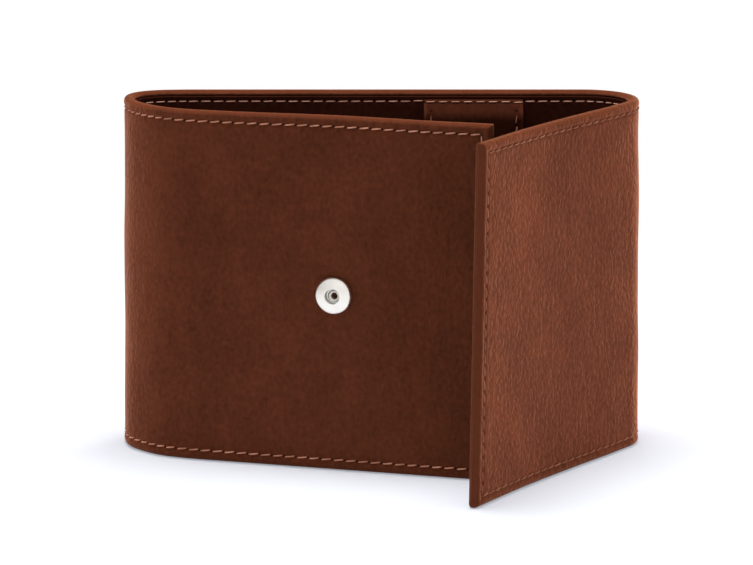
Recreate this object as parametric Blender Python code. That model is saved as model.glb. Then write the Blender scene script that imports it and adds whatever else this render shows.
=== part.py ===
"""Tri-fold leather cover with a snap, standing on its long lower edge.

World frame: metres, +Z up, X across the cover, and the open side faces -Y. The origin is the middle
of the back panel's lower edge.

Seen from above, the cover is one walk with its inside always on the left: right flap, right fold,
back panel, left fold, left flap. Every stretch has a frame of its own at its start: x runs along the
walk on the outer face, y goes in through the thickness, and z is up. Each piece is built in the frame
of its stretch and hangs from an empty on the axis that it turns about.
"""

import math

import bmesh
import bpy
from mathutils import Matrix, Vector

# Overall size and pose
MM = 0.001
WIDTH = 130.0 * MM
HEIGHT = 89.0 * MM
LEFT_FOLD_RADIUS = 16.5 * MM
RIGHT_FOLD_RADIUS = 13.7 * MM
LEFT_FLAP_SHORT_OF_FOLD = 16.3 * MM
RIGHT_FLAP_PAST_STUD = 16.4 * MM
LEFT_FLAP_ANGLE = math.radians(16.4)
RIGHT_FLAP_ANGLE = math.radians(57.0)

# Layers, from the outer face in
CLEARANCE = 0.3 * MM
LEATHER = 1.0 * MM
BOARD = 0.7 * MM
LINING = 0.7 * MM
HEM = LEATHER + CLEARANCE + BOARD
LINING_FACE = HEM + CLEARANCE
THICKNESS = LINING_FACE + LINING

# Edges
HEM_WIDTH = 8.0 * MM
RIM_RADIUS = 0.5 * MM
FLAP_CORNER_RADIUS = 1.6 * MM
LINING_INSET = 0.9 * MM
BOARD_SETBACK = 2.0 * MM
STAY_WIDTH = 11.0 * MM

# Seams
SEAM_INSET = 2.6 * MM
SEAM_CORNER_RADIUS = 1.5 * MM
THREAD = 0.4 * MM
THREAD_PROUD = 0.25 * MM
THREAD_DEPTH = THREAD / 2 - THREAD_PROUD
GROOVE_WIDTH = THREAD + 2 * CLEARANCE
GROOVE_DEPTH = THREAD - THREAD_PROUD + CLEARANCE
THREAD_STEP = 2.0 * MM

# Retaining band on the back panel's inside
BAND_FROM_RIGHT_FOLD = 15.1 * MM
BAND_WIDTH = 26.5 * MM
BAND = 1.2 * MM
BAND_ROOM = 4.6 * MM
BAND_END_INSET = 1.3 * MM
BAND_FOOT = 2.6 * MM
BAND_FALL = 0.9 * MM
BAND_BEND_RADIUS = 1.1 * MM
BAND_SEAM_INSET = 1.8 * MM
BAND_SEAM_SETBACK = 3.0 * MM

# Slip pocket on the left flap's inside
POCKET_FROM_FOLD = 18.0 * MM

# Snap socket on the left flap, turned about its own axis
SOCKET_FROM_FOLD = 43.4 * MM
SOCKET_RADIUS = 4.3 * MM
SOCKET_HEIGHT = 1.9 * MM
SOCKET_EDGE = 1.1 * MM
SOCKET_FLOOR = 0.5 * MM
SOCKET_MOUTH_RADIUS = 1.85 * MM
SOCKET_LIP = 0.5 * MM
SOCKET_ROUND = 0.3 * MM
SPRING_WIRE = 0.4 * MM
SPRING_PLAY = 0.45 * MM
SPRING_GAP_ANGLE = math.radians(50.0)

# Rivets: the socket's is a hollow eyelet, the stud's is solid
RIVET_FLANGE_RADIUS = 3.6 * MM
RIVET_FLANGE = 0.4 * MM
RIVET_BORE_RADIUS = 0.7 * MM
RIVET_WALL = 0.25 * MM
RIVET_ROLL = 0.55 * MM
RIVET_ROLL_HEIGHT = 0.4 * MM
PIN_RADIUS = 0.7 * MM

# Snap stud on the right flap's inside: it meets the socket when the cover is shut flat
STUD_FLANGE_RADIUS = 3.8 * MM
STUD_FLANGE = 0.5 * MM
STUD_NECK_RADIUS = 1.35 * MM
STUD_KNOB_RADIUS = 1.7 * MM
STUD_HEIGHT = 2.5 * MM
STUD_ROUND = 0.15 * MM

# Fineness of the round shapes
RIM_STEPS = 3
BEND_STEPS = 4
TURNED_STEPS = 32
SPRING_STEPS = 24
FOLD_STEP_ANGLE = math.radians(9.0)
THREAD_BEVEL_RESOLUTION = 1
SMOOTH_ANGLE = math.radians(35.0)
MERGE_SHARE = 0.001

# How far a cutter runs past what it cuts
OVERRUN = 1.0 * MM

# Shut flat, the left flap stops short of the right fold, and the right flap covers the snap
BACK_LENGTH = WIDTH - LEFT_FOLD_RADIUS - RIGHT_FOLD_RADIUS
LEFT_FLAP_LENGTH = BACK_LENGTH - LEFT_FLAP_SHORT_OF_FOLD
STUD_FROM_FOLD = BACK_LENGTH - SOCKET_FROM_FOLD
RIGHT_FLAP_LENGTH = STUD_FROM_FOLD + RIGHT_FLAP_PAST_STUD
LEFT_TURN = math.pi - LEFT_FLAP_ANGLE
RIGHT_TURN = math.pi - RIGHT_FLAP_ANGLE
MID_HEIGHT = HEIGHT / 2

# Base colour, roughness and metallic of each finish
FINISHES = {
    "leather": ((0.110, 0.034, 0.019), 0.50, 0.0),
    "lining": ((0.026, 0.013, 0.010), 0.75, 0.0),
    "thread": ((0.320, 0.130, 0.075), 0.60, 0.0),
    "board": ((0.300, 0.240, 0.170), 0.85, 0.0),
    "nickel": ((0.800, 0.790, 0.760), 0.25, 1.0),
    "steel": ((0.560, 0.570, 0.580), 0.35, 1.0),
}


def along(length):
    """The move that far along the walk."""
    return Matrix.Translation((length, 0, 0))


def around(radius, turn):
    """The move from the start of an arc that turns left to its end."""
    centre = Matrix.Translation((0, radius, 0))
    return centre @ Matrix.Rotation(turn, 4, "Z") @ centre.inverted()


BACK_START = (WIDTH / 2 - RIGHT_FOLD_RADIUS, HEM / 2, 0)
BACK = Matrix.Translation(BACK_START) @ Matrix.Rotation(math.pi, 4, "Z")
LEFT_FOLD = BACK @ along(BACK_LENGTH)
LEFT_FLAP = LEFT_FOLD @ around(LEFT_FOLD_RADIUS, LEFT_TURN)
RIGHT_FOLD = BACK @ around(RIGHT_FOLD_RADIUS, RIGHT_TURN).inverted()
RIGHT_FLAP = RIGHT_FOLD @ along(-RIGHT_FLAP_LENGTH)


def fold_axes(radius, turn):
    """The two axes, in the fold's frame, that together lay its arc out flat.

    Turned back by half the turn about the first axis, the middle of the arc comes to lie on the
    straight line through its start, at its own length along the thickness's middle. The second axis
    is the first one mirrored in the middle of the arc.
    """
    half = turn / 2
    middle = radius - THICKNESS / 2
    bent = Vector((middle * math.sin(half), radius - middle * math.cos(half)))
    straight = Vector((middle * half, THICKNESS / 2))
    chord = straight - bent
    across = Vector((-chord.y, chord.x))
    first = (bent + straight) / 2 - across / (2 * math.tan(half / 2))
    centre = Vector((0, radius))
    outward = Vector((math.sin(half), -math.cos(half)))
    offset = first - centre
    second = centre + 2 * offset.dot(outward) * outward - offset
    return first.to_3d(), second.to_3d()


def add_axis(name, place, parent):
    empty = bpy.data.objects.new(name, None)
    empty.empty_display_type = "SINGLE_ARROW"
    empty.empty_display_size = HEIGHT
    bpy.context.collection.objects.link(empty)
    bpy.context.view_layer.update()
    empty.parent = parent
    empty.matrix_world = Matrix.Translation(place)
    bpy.context.view_layer.update()
    return empty


def add_axes():
    """One empty per moving body, on the axis of the joint that carries it."""
    left_near, left_far = fold_axes(LEFT_FOLD_RADIUS, LEFT_TURN)
    right_far, right_near = fold_axes(RIGHT_FOLD_RADIUS, RIGHT_TURN)
    left_fold = add_axis("left_fold_axis", LEFT_FOLD @ left_near, None)
    left_flap = add_axis("left_flap_axis", LEFT_FOLD @ left_far, left_fold)
    right_fold = add_axis("right_fold_axis", RIGHT_FOLD @ right_near, None)
    right_flap = add_axis("right_flap_axis", RIGHT_FOLD @ right_far, right_fold)
    return left_fold, left_flap, right_fold, right_flap


def finish_material(name, finish):
    colour, roughness, metallic = FINISHES[finish]
    material = bpy.data.materials.new(f"{name}_{finish}")
    material.use_nodes = True
    shader = material.node_tree.nodes["Principled BSDF"]
    shader.inputs["Base Color"].default_value = (*colour, 1)
    shader.inputs["Roughness"].default_value = roughness
    shader.inputs["Metallic"].default_value = metallic
    material.diffuse_color = (*colour, 1)
    return material


def add_piece(name, data, finish, frame, axis):
    """One named piece in the frame of its stretch, hanging from the axis that it turns about."""
    piece = bpy.data.objects.new(name, data)
    bpy.context.collection.objects.link(piece)
    data.materials.append(finish_material(name, finish))
    piece.parent = axis
    piece.matrix_world = frame
    return piece


def closed_mesh(name, build, smooth=False):
    """A mesh filled by build(bm), with its normals outwards."""
    bm = bmesh.new()
    build(bm)
    bmesh.ops.recalc_face_normals(bm, faces=bm.faces)
    mesh = bpy.data.meshes.new(name)
    bm.to_mesh(mesh)
    bm.free()
    if smooth:
        mesh.shade_smooth()
        mesh.set_sharp_from_angle(angle=SMOOTH_ANGLE)
    return mesh


def loft(name, rings, smooth=False):
    """A solid through like rings of points, closed by a face at each end."""

    def build(bm):
        loops = [[bm.verts.new(point) for point in ring] for ring in rings]
        for one, two in zip(loops, loops[1:]):
            for i in range(len(one)):
                bm.faces.new((one[i - 1], one[i], two[i], two[i - 1]))
        bm.faces.new(loops[0])
        bm.faces.new(loops[-1])

    return closed_mesh(name, build, smooth)


def straight_run(name, outline, start, end):
    """A cross-section of (y, z) points carried along a straight stretch."""
    return loft(name, [[(x, y, z) for y, z in outline] for x in (start, end)])


def folded_run(name, outline, radius, first, last):
    """A cross-section of (y, z) points carried round a fold, from one angle to another."""
    steps = max(2, math.ceil((last - first) / FOLD_STEP_ANGLE))
    rings = []
    for step in range(steps + 1):
        angle = first + (last - first) * step / steps
        rings.append(
            [
                ((radius - y) * math.sin(angle), radius - (radius - y) * math.cos(angle), z)
                for y, z in outline
            ]
        )
    return loft(name, rings, smooth=True)


def plate(name, outline, near, far):
    """A flat outline of (x, z) points, as thick as from y = near to y = far."""
    return loft(name, [[(x, y, z) for x, z in outline] for y in (near, far)])


def rectangle(low_a, high_a, low_b, high_b):
    return [(low_a, low_b), (high_a, low_b), (high_a, high_b), (low_a, high_b)]


def turned(name, outline, x, z):
    """A closed outline of (radius, y) points, turned about the line along y through (x, z)."""

    def build(bm):
        points = [bm.verts.new((radius, y, 0)) for radius, y in outline]
        for i in range(len(points)):
            bm.edges.new((points[i - 1], points[i]))
        bmesh.ops.spin(
            bm,
            geom=bm.verts[:] + bm.edges[:],
            cent=(0, 0, 0),
            axis=(0, 1, 0),
            angle=2 * math.pi,
            steps=TURNED_STEPS,
            use_merge=True,
        )
        bmesh.ops.remove_doubles(bm, verts=bm.verts, dist=CLEARANCE * MERGE_SHARE)
        axis_edges = [edge for edge in bm.edges if not edge.link_faces]
        bmesh.ops.delete(bm, geom=axis_edges, context="EDGES")
        bmesh.ops.translate(bm, verts=bm.verts, vec=(x, 0, z))

    return closed_mesh(name, build, smooth=True)


def wire(name, points, diameter):
    """A round wire or thread through the points, with closed ends."""
    curve = bpy.data.curves.new(name, "CURVE")
    curve.dimensions = "3D"
    curve.bevel_depth = diameter / 2
    curve.bevel_resolution = THREAD_BEVEL_RESOLUTION
    curve.use_fill_caps = True
    spline = curve.splines.new("POLY")
    spline.points.add(len(points) - 1)
    for knot, point in zip(spline.points, points):
        knot.co = (*point, 1)
    return curve


def cut(piece, name, cutter_mesh):
    """Takes the cutter, given in the piece's own frame, out of the piece."""
    cutter = bpy.data.objects.new(f"{name}_cutter", cutter_mesh)
    bpy.context.collection.objects.link(cutter)
    cutter.parent = piece
    cutter.hide_render = True
    cutter.display_type = "WIRE"
    boolean = piece.modifiers.new(name, "BOOLEAN")
    boolean.operation = "DIFFERENCE"
    boolean.object = cutter


def filleted(points, radius):
    """The flat path with each inner corner rounded to the radius."""
    path = [Vector(points[0])]
    for before, corner, after in zip(points, points[1:], points[2:]):
        corner = Vector(corner)
        back = (Vector(before) - corner).normalized()
        on = (Vector(after) - corner).normalized()
        half = back.angle(on) / 2
        reach = radius / math.tan(half)
        centre = corner + (back + on).normalized() * radius / math.sin(half)
        first = corner + back * reach - centre
        last = corner + on * reach - centre
        for step in range(BEND_STEPS + 1):
            spot = first.lerp(last, step / BEND_STEPS)
            path.append(centre + spot.normalized() * radius)
    path.append(Vector(points[-1]))
    return path


def thickened(path, thickness):
    """The closed outline of a strip that runs along the middle path, square at its ends."""
    left = []
    right = []
    for i, point in enumerate(path):
        before = (point - path[i - 1]).normalized() if i else None
        after = (path[i + 1] - point).normalized() if i + 1 < len(path) else before
        before = before or after
        heading = (before + after).normalized()
        reach = thickness / 2 / heading.dot(after)
        side = Vector((-heading.y, heading.x)) * reach
        left.append(point + side)
        right.append(point - side)
    return [tuple(point) for point in left + right[::-1]]


def rim_arc(y, z, start):
    """A quarter of the rim's rounding about (y, z), from the start angle, clockwise."""
    return [
        (
            y + RIM_RADIUS * math.cos(start - math.pi / 2 * step / RIM_STEPS),
            z + RIM_RADIUS * math.sin(start - math.pi / 2 * step / RIM_STEPS),
        )
        for step in range(RIM_STEPS + 1)
    ]


def mirrored_up(lower):
    """The outline whose upper half is the lower half's mirror image."""
    return lower + [(y, HEIGHT - z) for y, z in reversed(lower)]


def leather_section():
    """Leather between two turned edges: thin in the middle, where the board or the stay lies."""
    return mirrored_up(
        [(LEATHER, HEM_WIDTH), (HEM, HEM_WIDTH)]
        + rim_arc(HEM - RIM_RADIUS, RIM_RADIUS, 0)
        + rim_arc(RIM_RADIUS, RIM_RADIUS, -math.pi / 2)
        + [
            (0, SEAM_INSET - GROOVE_WIDTH / 2),
            (GROOVE_DEPTH, SEAM_INSET - GROOVE_WIDTH / 2),
            (GROOVE_DEPTH, SEAM_INSET + GROOVE_WIDTH / 2),
            (0, SEAM_INSET + GROOVE_WIDTH / 2),
        ]
    )


def lining_section():
    """Lining with a thread groove along both of its seams."""
    return mirrored_up(
        [
            (THICKNESS, SEAM_INSET + GROOVE_WIDTH / 2),
            (THICKNESS - GROOVE_DEPTH, SEAM_INSET + GROOVE_WIDTH / 2),
            (THICKNESS - GROOVE_DEPTH, SEAM_INSET - GROOVE_WIDTH / 2),
            (THICKNESS, SEAM_INSET - GROOVE_WIDTH / 2),
            (THICKNESS, LINING_INSET),
            (LINING_FACE, LINING_INSET),
        ]
    )


def inner_section():
    """Board or stay, lying between the two turned edges."""
    edge = HEM_WIDTH + CLEARANCE
    return rectangle(LEATHER + CLEARANCE, HEM, edge, HEIGHT - edge)


def seam_heights():
    return (("top", HEIGHT - SEAM_INSET), ("bottom", SEAM_INSET))


def add_back(axis):
    start = CLEARANCE / 2
    end = BACK_LENGTH - start
    leather = straight_run("back_leather", leather_section(), start, end)
    add_piece("back_leather", leather, "leather", BACK, axis)
    lining = straight_run("back_lining", lining_section(), start, end)
    add_piece("back_lining", lining, "lining", BACK, axis)
    board_end = BACK_LENGTH - BOARD_SETBACK
    board = straight_run("back_board", inner_section(), BOARD_SETBACK, board_end)
    add_piece("back_board", board, "board", BACK, axis)
    for side, height in seam_heights():
        name = f"back_{side}_outer_thread"
        points = [(start, THREAD_DEPTH, height), (end, THREAD_DEPTH, height)]
        add_piece(name, wire(name, points, THREAD), "thread", BACK, axis)
        name = f"back_{side}_inner_thread"
        points = [(x, y, height) for x, y in over_band_foot(start, end)]
        add_piece(name, wire(name, points, THREAD), "thread", BACK, axis)


def over_band_foot(start, end):
    """(x, y) of the inner thread: on the lining, and up over the band's foot."""
    low = THICKNESS - THREAD_DEPTH
    high = THICKNESS + CLEARANCE + BAND + CLEARANCE + THREAD / 2
    near = BAND_FROM_RIGHT_FOLD
    far = near + BAND_WIDTH
    return [
        (start, low),
        (near - THREAD_STEP, low),
        (near - CLEARANCE, high),
        (far + CLEARANCE, high),
        (far + THREAD_STEP, low),
        (end, low),
    ]


def band_path():
    """Middle line of the band, as (y, z): foot, step out, face, step in, foot."""
    foot = THICKNESS + CLEARANCE + BAND / 2
    face = THICKNESS + BAND_ROOM + BAND / 2
    rise = BAND_END_INSET + BAND_FOOT
    shoulder = rise + BAND_FALL
    lower = [(foot, BAND_END_INSET), (foot, rise), (face, shoulder)]
    return filleted(mirrored_up(lower), BAND_BEND_RADIUS)


def add_band(axis):
    """Retaining band, sewn in with the back panel's seams, with a row of stitches down each side."""
    near = BAND_FROM_RIGHT_FOLD
    far = near + BAND_WIDTH
    mesh = straight_run("retaining_band", thickened(band_path(), BAND), near, far)
    band = add_piece("retaining_band", mesh, "leather", BACK, axis)
    face = THICKNESS + BAND_ROOM + BAND
    low = BAND_END_INSET + BAND_FOOT + BAND_FALL + BAND_SEAM_SETBACK
    seams = (("right", near + BAND_SEAM_INSET), ("left", far - BAND_SEAM_INSET))
    for side, x in seams:
        name = f"band_{side}_thread"
        sides = (x - GROOVE_WIDTH / 2, x + GROOVE_WIDTH / 2)
        ends = (low - CLEARANCE, HEIGHT - low + CLEARANCE)
        groove = plate(f"{name}_groove", rectangle(*sides, *ends), face - GROOVE_DEPTH, face + OVERRUN)
        cut(band, f"{name}_groove", groove)
        y = face - THREAD_DEPTH
        thread = wire(name, [(x, y, low), (x, y, HEIGHT - low)], THREAD)
        add_piece(name, thread, "thread", BACK, axis)


def add_fold(side, radius, turn, frame, axis):
    """Fold: leather, lining and threads bend with it, and a stay keeps its middle round."""
    gap = CLEARANCE / 2 / (radius - THICKNESS)
    ends = (gap, turn - gap)
    leather = folded_run(f"{side}_fold_leather", leather_section(), radius, *ends)
    add_piece(f"{side}_fold_leather", leather, "leather", frame, axis)
    lining = folded_run(f"{side}_fold_lining", lining_section(), radius, *ends)
    add_piece(f"{side}_fold_lining", lining, "lining", frame, axis)
    half_stay = STAY_WIDTH / 2 / radius
    stay_ends = (turn / 2 - half_stay, turn / 2 + half_stay)
    stay = folded_run(f"{side}_fold_stay", inner_section(), radius, *stay_ends)
    add_piece(f"{side}_fold_stay", stay, "board", frame, axis)
    for level, height in seam_heights():
        for face, depth in (("outer", THREAD_DEPTH), ("inner", THICKNESS - THREAD_DEPTH)):
            name = f"{side}_fold_{level}_{face}_thread"
            points = arc_points(radius, depth, height, *ends)
            add_piece(name, wire(name, points, THREAD), "thread", frame, axis)


def arc_points(radius, depth, height, first, last):
    steps = math.ceil((last - first) / FOLD_STEP_ANGLE)
    points = []
    for step in range(steps + 1):
        angle = first + (last - first) * step / steps
        x = (radius - depth) * math.sin(angle)
        points.append((x, radius - (radius - depth) * math.cos(angle), height))
    return points


def flap_blank(name, length, free_end):
    """A flap's leather before its board pocket: a plate with rounded corners and rims.

    The end at the fold stays square, so that it meets the fold's leather.
    """
    fold_end = 0 if free_end else length

    def build(bm):
        bmesh.ops.create_cube(bm, size=1)
        bmesh.ops.scale(bm, vec=(length - CLEARANCE / 2, HEM, HEIGHT), verts=bm.verts)
        shift = CLEARANCE / 4 if free_end else -CLEARANCE / 4
        bmesh.ops.translate(bm, vec=(length / 2 + shift, HEM / 2, MID_HEIGHT), verts=bm.verts)
        square = abs(fold_end - length / 2) - CLEARANCE

        def at_fold(vert):
            return abs(vert.co.x - length / 2) > square and (vert.co.x < length / 2) == (
                fold_end < length / 2
            )

        corners = [
            edge
            for edge in bm.edges
            if not any(at_fold(v) for v in edge.verts)
            and abs(edge.verts[0].co.y - edge.verts[1].co.y) > HEM / 2
        ]
        bmesh.ops.bevel(
            bm, geom=corners, offset=FLAP_CORNER_RADIUS, segments=BEND_STEPS, profile=0.5, affect="EDGES"
        )
        rims = [
            edge
            for edge in bm.edges
            if not all(at_fold(v) for v in edge.verts)
            and abs(edge.verts[0].co.y - edge.verts[1].co.y) < HEM / 2
        ]
        bmesh.ops.bevel(
            bm, geom=rims, offset=RIM_RADIUS, segments=RIM_STEPS, profile=0.5, affect="EDGES"
        )

    return closed_mesh(name, build)


def seam_trench(name, length, free_end, start, near, far):
    """Cutter for the thread groove round three sides of a flap, open at its fold end."""
    outer = SEAM_INSET - GROOVE_WIDTH / 2
    inner = SEAM_INSET + GROOVE_WIDTH / 2
    mouth = start - OVERRUN
    outline = [
        (mouth, outer),
        (length - outer, outer),
        (length - outer, HEIGHT - outer),
        (mouth, HEIGHT - outer),
        (mouth, HEIGHT - inner),
        (length - inner, HEIGHT - inner),
        (length - inner, inner),
        (mouth, inner),
    ]
    return plate(name, [(from_fold(x, length, free_end), z) for x, z in outline], near, far)


def from_fold(x, length, free_end):
    """x in the flap's frame of a place that far from its fold."""
    return x if free_end else length - x


def flap_span(near, far, length, free_end):
    return sorted(from_fold(x, length, free_end) for x in (near, far))


def flap_seam(length, free_end, levels):
    """Thread round three sides of a flap. levels gives (distance from the fold, y) along its way out."""
    corner = length - SEAM_INSET
    start, y = levels[-1]
    low, high = SEAM_INSET, HEIGHT - SEAM_INSET
    path = filleted([(start, low), (corner, low), (corner, high), (start, high)], SEAM_CORNER_RADIUS)
    out = [(x, depth, SEAM_INSET) for x, depth in levels[:-1]]
    home = [(x, depth, HEIGHT - SEAM_INSET) for x, depth in reversed(levels[:-1])]
    points = out + [(x, y, z) for x, z in path] + home
    return [(from_fold(x, length, free_end), depth, z) for x, depth, z in points]


def add_flap(side, length, free_end, frame, axis, rivet_at):
    """Leather with its board and lining. A rivet's head lies in a hole through the board."""
    fold_gap = CLEARANCE / 2
    blank = flap_blank(f"{side}_flap_leather", length, free_end)
    leather = add_piece(f"{side}_flap_leather", blank, "leather", frame, axis)
    span = flap_span(-OVERRUN, length - HEM_WIDTH, length, free_end)
    outline = rectangle(*span, HEM_WIDTH, HEIGHT - HEM_WIDTH)
    cut(leather, f"{side}_board_pocket", plate(f"{side}_pocket", outline, LEATHER, HEM + OVERRUN))
    trench = seam_trench(f"{side}_outer_seam", length, free_end, fold_gap, -OVERRUN, GROOVE_DEPTH)
    cut(leather, f"{side}_outer_seam", trench)

    span = flap_span(BOARD_SETBACK, length - HEM_WIDTH - CLEARANCE, length, free_end)
    board_mesh = straight_run(f"{side}_flap_board", inner_section(), *span)
    board = add_piece(f"{side}_flap_board", board_mesh, "board", frame, axis)
    hole = rivet_hole(f"{side}_board_hole", RIVET_FLANGE_RADIUS + CLEARANCE, rivet_at)
    cut(board, f"{side}_board_hole", hole)

    lining = add_lining(f"{side}_flap_lining", length, free_end, fold_gap, LINING_FACE, frame, axis)
    name = f"{side}_flap_outer_thread"
    points = flap_seam(length, free_end, [(fold_gap, THREAD_DEPTH), (fold_gap + THREAD_STEP, THREAD_DEPTH)])
    add_piece(name, wire(name, points, THREAD), "thread", frame, axis)
    return leather, lining


def add_lining(name, length, free_end, start, face, frame, axis):
    """A sheet of lining leather on three sewn sides of a flap, from start to the free end."""
    span = flap_span(start, length - LINING_INSET, length, free_end)
    outline = rectangle(*span, LINING_INSET, HEIGHT - LINING_INSET)
    sheet = add_piece(name, plate(name, outline, face, face + LINING), "lining", frame, axis)
    top = face + LINING
    trench = seam_trench(f"{name}_seam", length, free_end, start, top - GROOVE_DEPTH, top + OVERRUN)
    cut(sheet, f"{name}_seam", trench)
    return sheet


def rivet_hole(name, radius, x):
    """Cutter for a round hole through a layer, at mid height."""
    outline = [(0, -OVERRUN), (radius, -OVERRUN), (radius, THICKNESS + OVERRUN), (0, THICKNESS + OVERRUN)]
    return turned(name, outline, x, MID_HEIGHT)


def add_left_flap(axis):
    snap_x = SOCKET_FROM_FOLD
    leather, _ = add_flap("left", LEFT_FLAP_LENGTH, True, LEFT_FLAP, axis, snap_x)
    neck_hole = RIVET_BORE_RADIUS + RIVET_WALL + CLEARANCE
    cut(leather, "socket_hole", rivet_hole("socket_hole", neck_hole, snap_x))
    pocket_face = THICKNESS + CLEARANCE
    add_lining("left_slip_pocket", LEFT_FLAP_LENGTH, True, POCKET_FROM_FOLD, pocket_face, LEFT_FLAP, axis)
    levels = [
        (CLEARANCE / 2, THICKNESS - THREAD_DEPTH),
        (POCKET_FROM_FOLD - THREAD_STEP, THICKNESS - THREAD_DEPTH),
        (POCKET_FROM_FOLD - CLEARANCE, pocket_face + LINING - THREAD_DEPTH),
    ]
    name = "left_flap_inner_thread"
    points = flap_seam(LEFT_FLAP_LENGTH, True, levels)
    add_piece(name, wire(name, points, THREAD), "thread", LEFT_FLAP, axis)
    add_socket(snap_x, axis)


def add_socket(x, axis):
    """Snap socket on the outer face: heights count outwards, which is down in y."""
    seat = -CLEARANCE
    neck = RIVET_BORE_RADIUS + RIVET_WALL
    cavity = SOCKET_MOUTH_RADIUS + SPRING_WIRE + SPRING_PLAY
    lid = SOCKET_HEIGHT - SOCKET_LIP
    outline = [
        (neck + CLEARANCE, 0),
        (SOCKET_RADIUS - SOCKET_ROUND, 0),
        (SOCKET_RADIUS, SOCKET_ROUND),
        (SOCKET_RADIUS, SOCKET_EDGE - SOCKET_ROUND),
        (SOCKET_RADIUS - SOCKET_ROUND, SOCKET_EDGE),
        (SOCKET_MOUTH_RADIUS + SOCKET_ROUND, SOCKET_HEIGHT),
        (SOCKET_MOUTH_RADIUS, SOCKET_HEIGHT - SOCKET_ROUND),
        (SOCKET_MOUTH_RADIUS, lid),
        (cavity, lid),
        (cavity, SOCKET_FLOOR),
        (neck + CLEARANCE, SOCKET_FLOOR),
    ]
    outline = [(radius, seat - height) for radius, height in outline]
    add_piece("snap_socket", turned("snap_socket", outline, x, MID_HEIGHT), "nickel", LEFT_FLAP, axis)

    ring = SOCKET_MOUTH_RADIUS + SPRING_WIRE / 2
    y = seat - (SOCKET_FLOOR + lid) / 2
    points = []
    for step in range(SPRING_STEPS + 1):
        angle = SPRING_GAP_ANGLE / 2 + (2 * math.pi - SPRING_GAP_ANGLE) * step / SPRING_STEPS
        points.append((x + ring * math.sin(angle), y, MID_HEIGHT + ring * math.cos(angle)))
    add_piece("socket_spring", wire("socket_spring", points, SPRING_WIRE), "steel", LEFT_FLAP, axis)

    under = LEATHER + CLEARANCE
    roll = seat - SOCKET_FLOOR - CLEARANCE
    tip = roll - RIVET_ROLL_HEIGHT
    outline = [
        (RIVET_BORE_RADIUS, under + RIVET_FLANGE),
        (RIVET_FLANGE_RADIUS, under + RIVET_FLANGE),
        (RIVET_FLANGE_RADIUS, under),
        (neck, under),
        (neck, roll),
        (neck + RIVET_ROLL, roll),
        (neck + RIVET_ROLL, (roll + tip) / 2),
        (neck + RIVET_ROLL / 2, tip),
        (RIVET_BORE_RADIUS, tip),
    ]
    add_piece("socket_rivet", turned("socket_rivet", outline, x, MID_HEIGHT), "steel", LEFT_FLAP, axis)


def add_right_flap(axis):
    snap_x = from_fold(STUD_FROM_FOLD, RIGHT_FLAP_LENGTH, False)
    _, lining = add_flap("right", RIGHT_FLAP_LENGTH, False, RIGHT_FLAP, axis, snap_x)
    cut(lining, "stud_hole", rivet_hole("stud_hole", PIN_RADIUS + CLEARANCE, snap_x))
    inner = THICKNESS - THREAD_DEPTH
    name = "right_flap_inner_thread"
    levels = [(CLEARANCE / 2, inner), (CLEARANCE / 2 + THREAD_STEP, inner)]
    points = flap_seam(RIGHT_FLAP_LENGTH, False, levels)
    add_piece(name, wire(name, points, THREAD), "thread", RIGHT_FLAP, axis)
    add_stud(snap_x, axis)


def add_stud(x, axis):
    """Snap stud on the inner face: heights count inwards, which is up in y."""
    seat = THICKNESS + CLEARANCE
    bore = PIN_RADIUS + CLEARANCE
    knob = STUD_HEIGHT - STUD_KNOB_RADIUS
    outline = [
        (bore, 0),
        (STUD_FLANGE_RADIUS, 0),
        (STUD_FLANGE_RADIUS, STUD_FLANGE - STUD_ROUND),
        (STUD_FLANGE_RADIUS - STUD_ROUND, STUD_FLANGE),
        (STUD_NECK_RADIUS + STUD_ROUND, STUD_FLANGE),
        (STUD_NECK_RADIUS, STUD_FLANGE + STUD_ROUND),
        (STUD_NECK_RADIUS, knob + STUD_ROUND),
        (STUD_KNOB_RADIUS, knob + STUD_KNOB_RADIUS / 2),
        (STUD_KNOB_RADIUS, STUD_HEIGHT - STUD_ROUND),
        (STUD_KNOB_RADIUS - STUD_ROUND, STUD_HEIGHT),
        (bore, STUD_HEIGHT),
    ]
    outline = [(radius, seat + height) for radius, height in outline]
    add_piece("snap_stud", turned("snap_stud", outline, x, MID_HEIGHT), "nickel", RIGHT_FLAP, axis)

    under = LEATHER + CLEARANCE
    roll = seat + STUD_HEIGHT + CLEARANCE
    tip = roll + RIVET_ROLL_HEIGHT
    outline = [
        (0, under),
        (RIVET_FLANGE_RADIUS, under),
        (RIVET_FLANGE_RADIUS, under + RIVET_FLANGE),
        (PIN_RADIUS, under + RIVET_FLANGE),
        (PIN_RADIUS, roll),
        (PIN_RADIUS + RIVET_ROLL, roll),
        (PIN_RADIUS + RIVET_ROLL, (roll + tip) / 2),
        (PIN_RADIUS + RIVET_ROLL / 2, tip),
        (0, tip),
    ]
    add_piece("stud_rivet", turned("stud_rivet", outline, x, MID_HEIGHT), "steel", RIGHT_FLAP, axis)


def main():
    for old in list(bpy.data.objects):
        bpy.data.objects.remove(old)
    left_fold, left_flap, right_fold, right_flap = add_axes()
    add_back(None)
    add_band(None)
    add_fold("left", LEFT_FOLD_RADIUS, LEFT_TURN, LEFT_FOLD, left_fold)
    add_fold("right", RIGHT_FOLD_RADIUS, RIGHT_TURN, RIGHT_FOLD, right_fold)
    add_left_flap(left_flap)
    add_right_flap(right_flap)


main()
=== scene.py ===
"""Looks of a tri-fold leather cover with a snap, standing on its long lower edge.

Seen from above, the cover is one walk with its inside always on the left: right flap, right fold,
back panel, left fold, left flap. A place in it is s along the outer face, y in from that face, and
z up, in metres. Its pieces are worked out there and then laid round the walk.
"""

import cmath
import collections
import math

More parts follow.
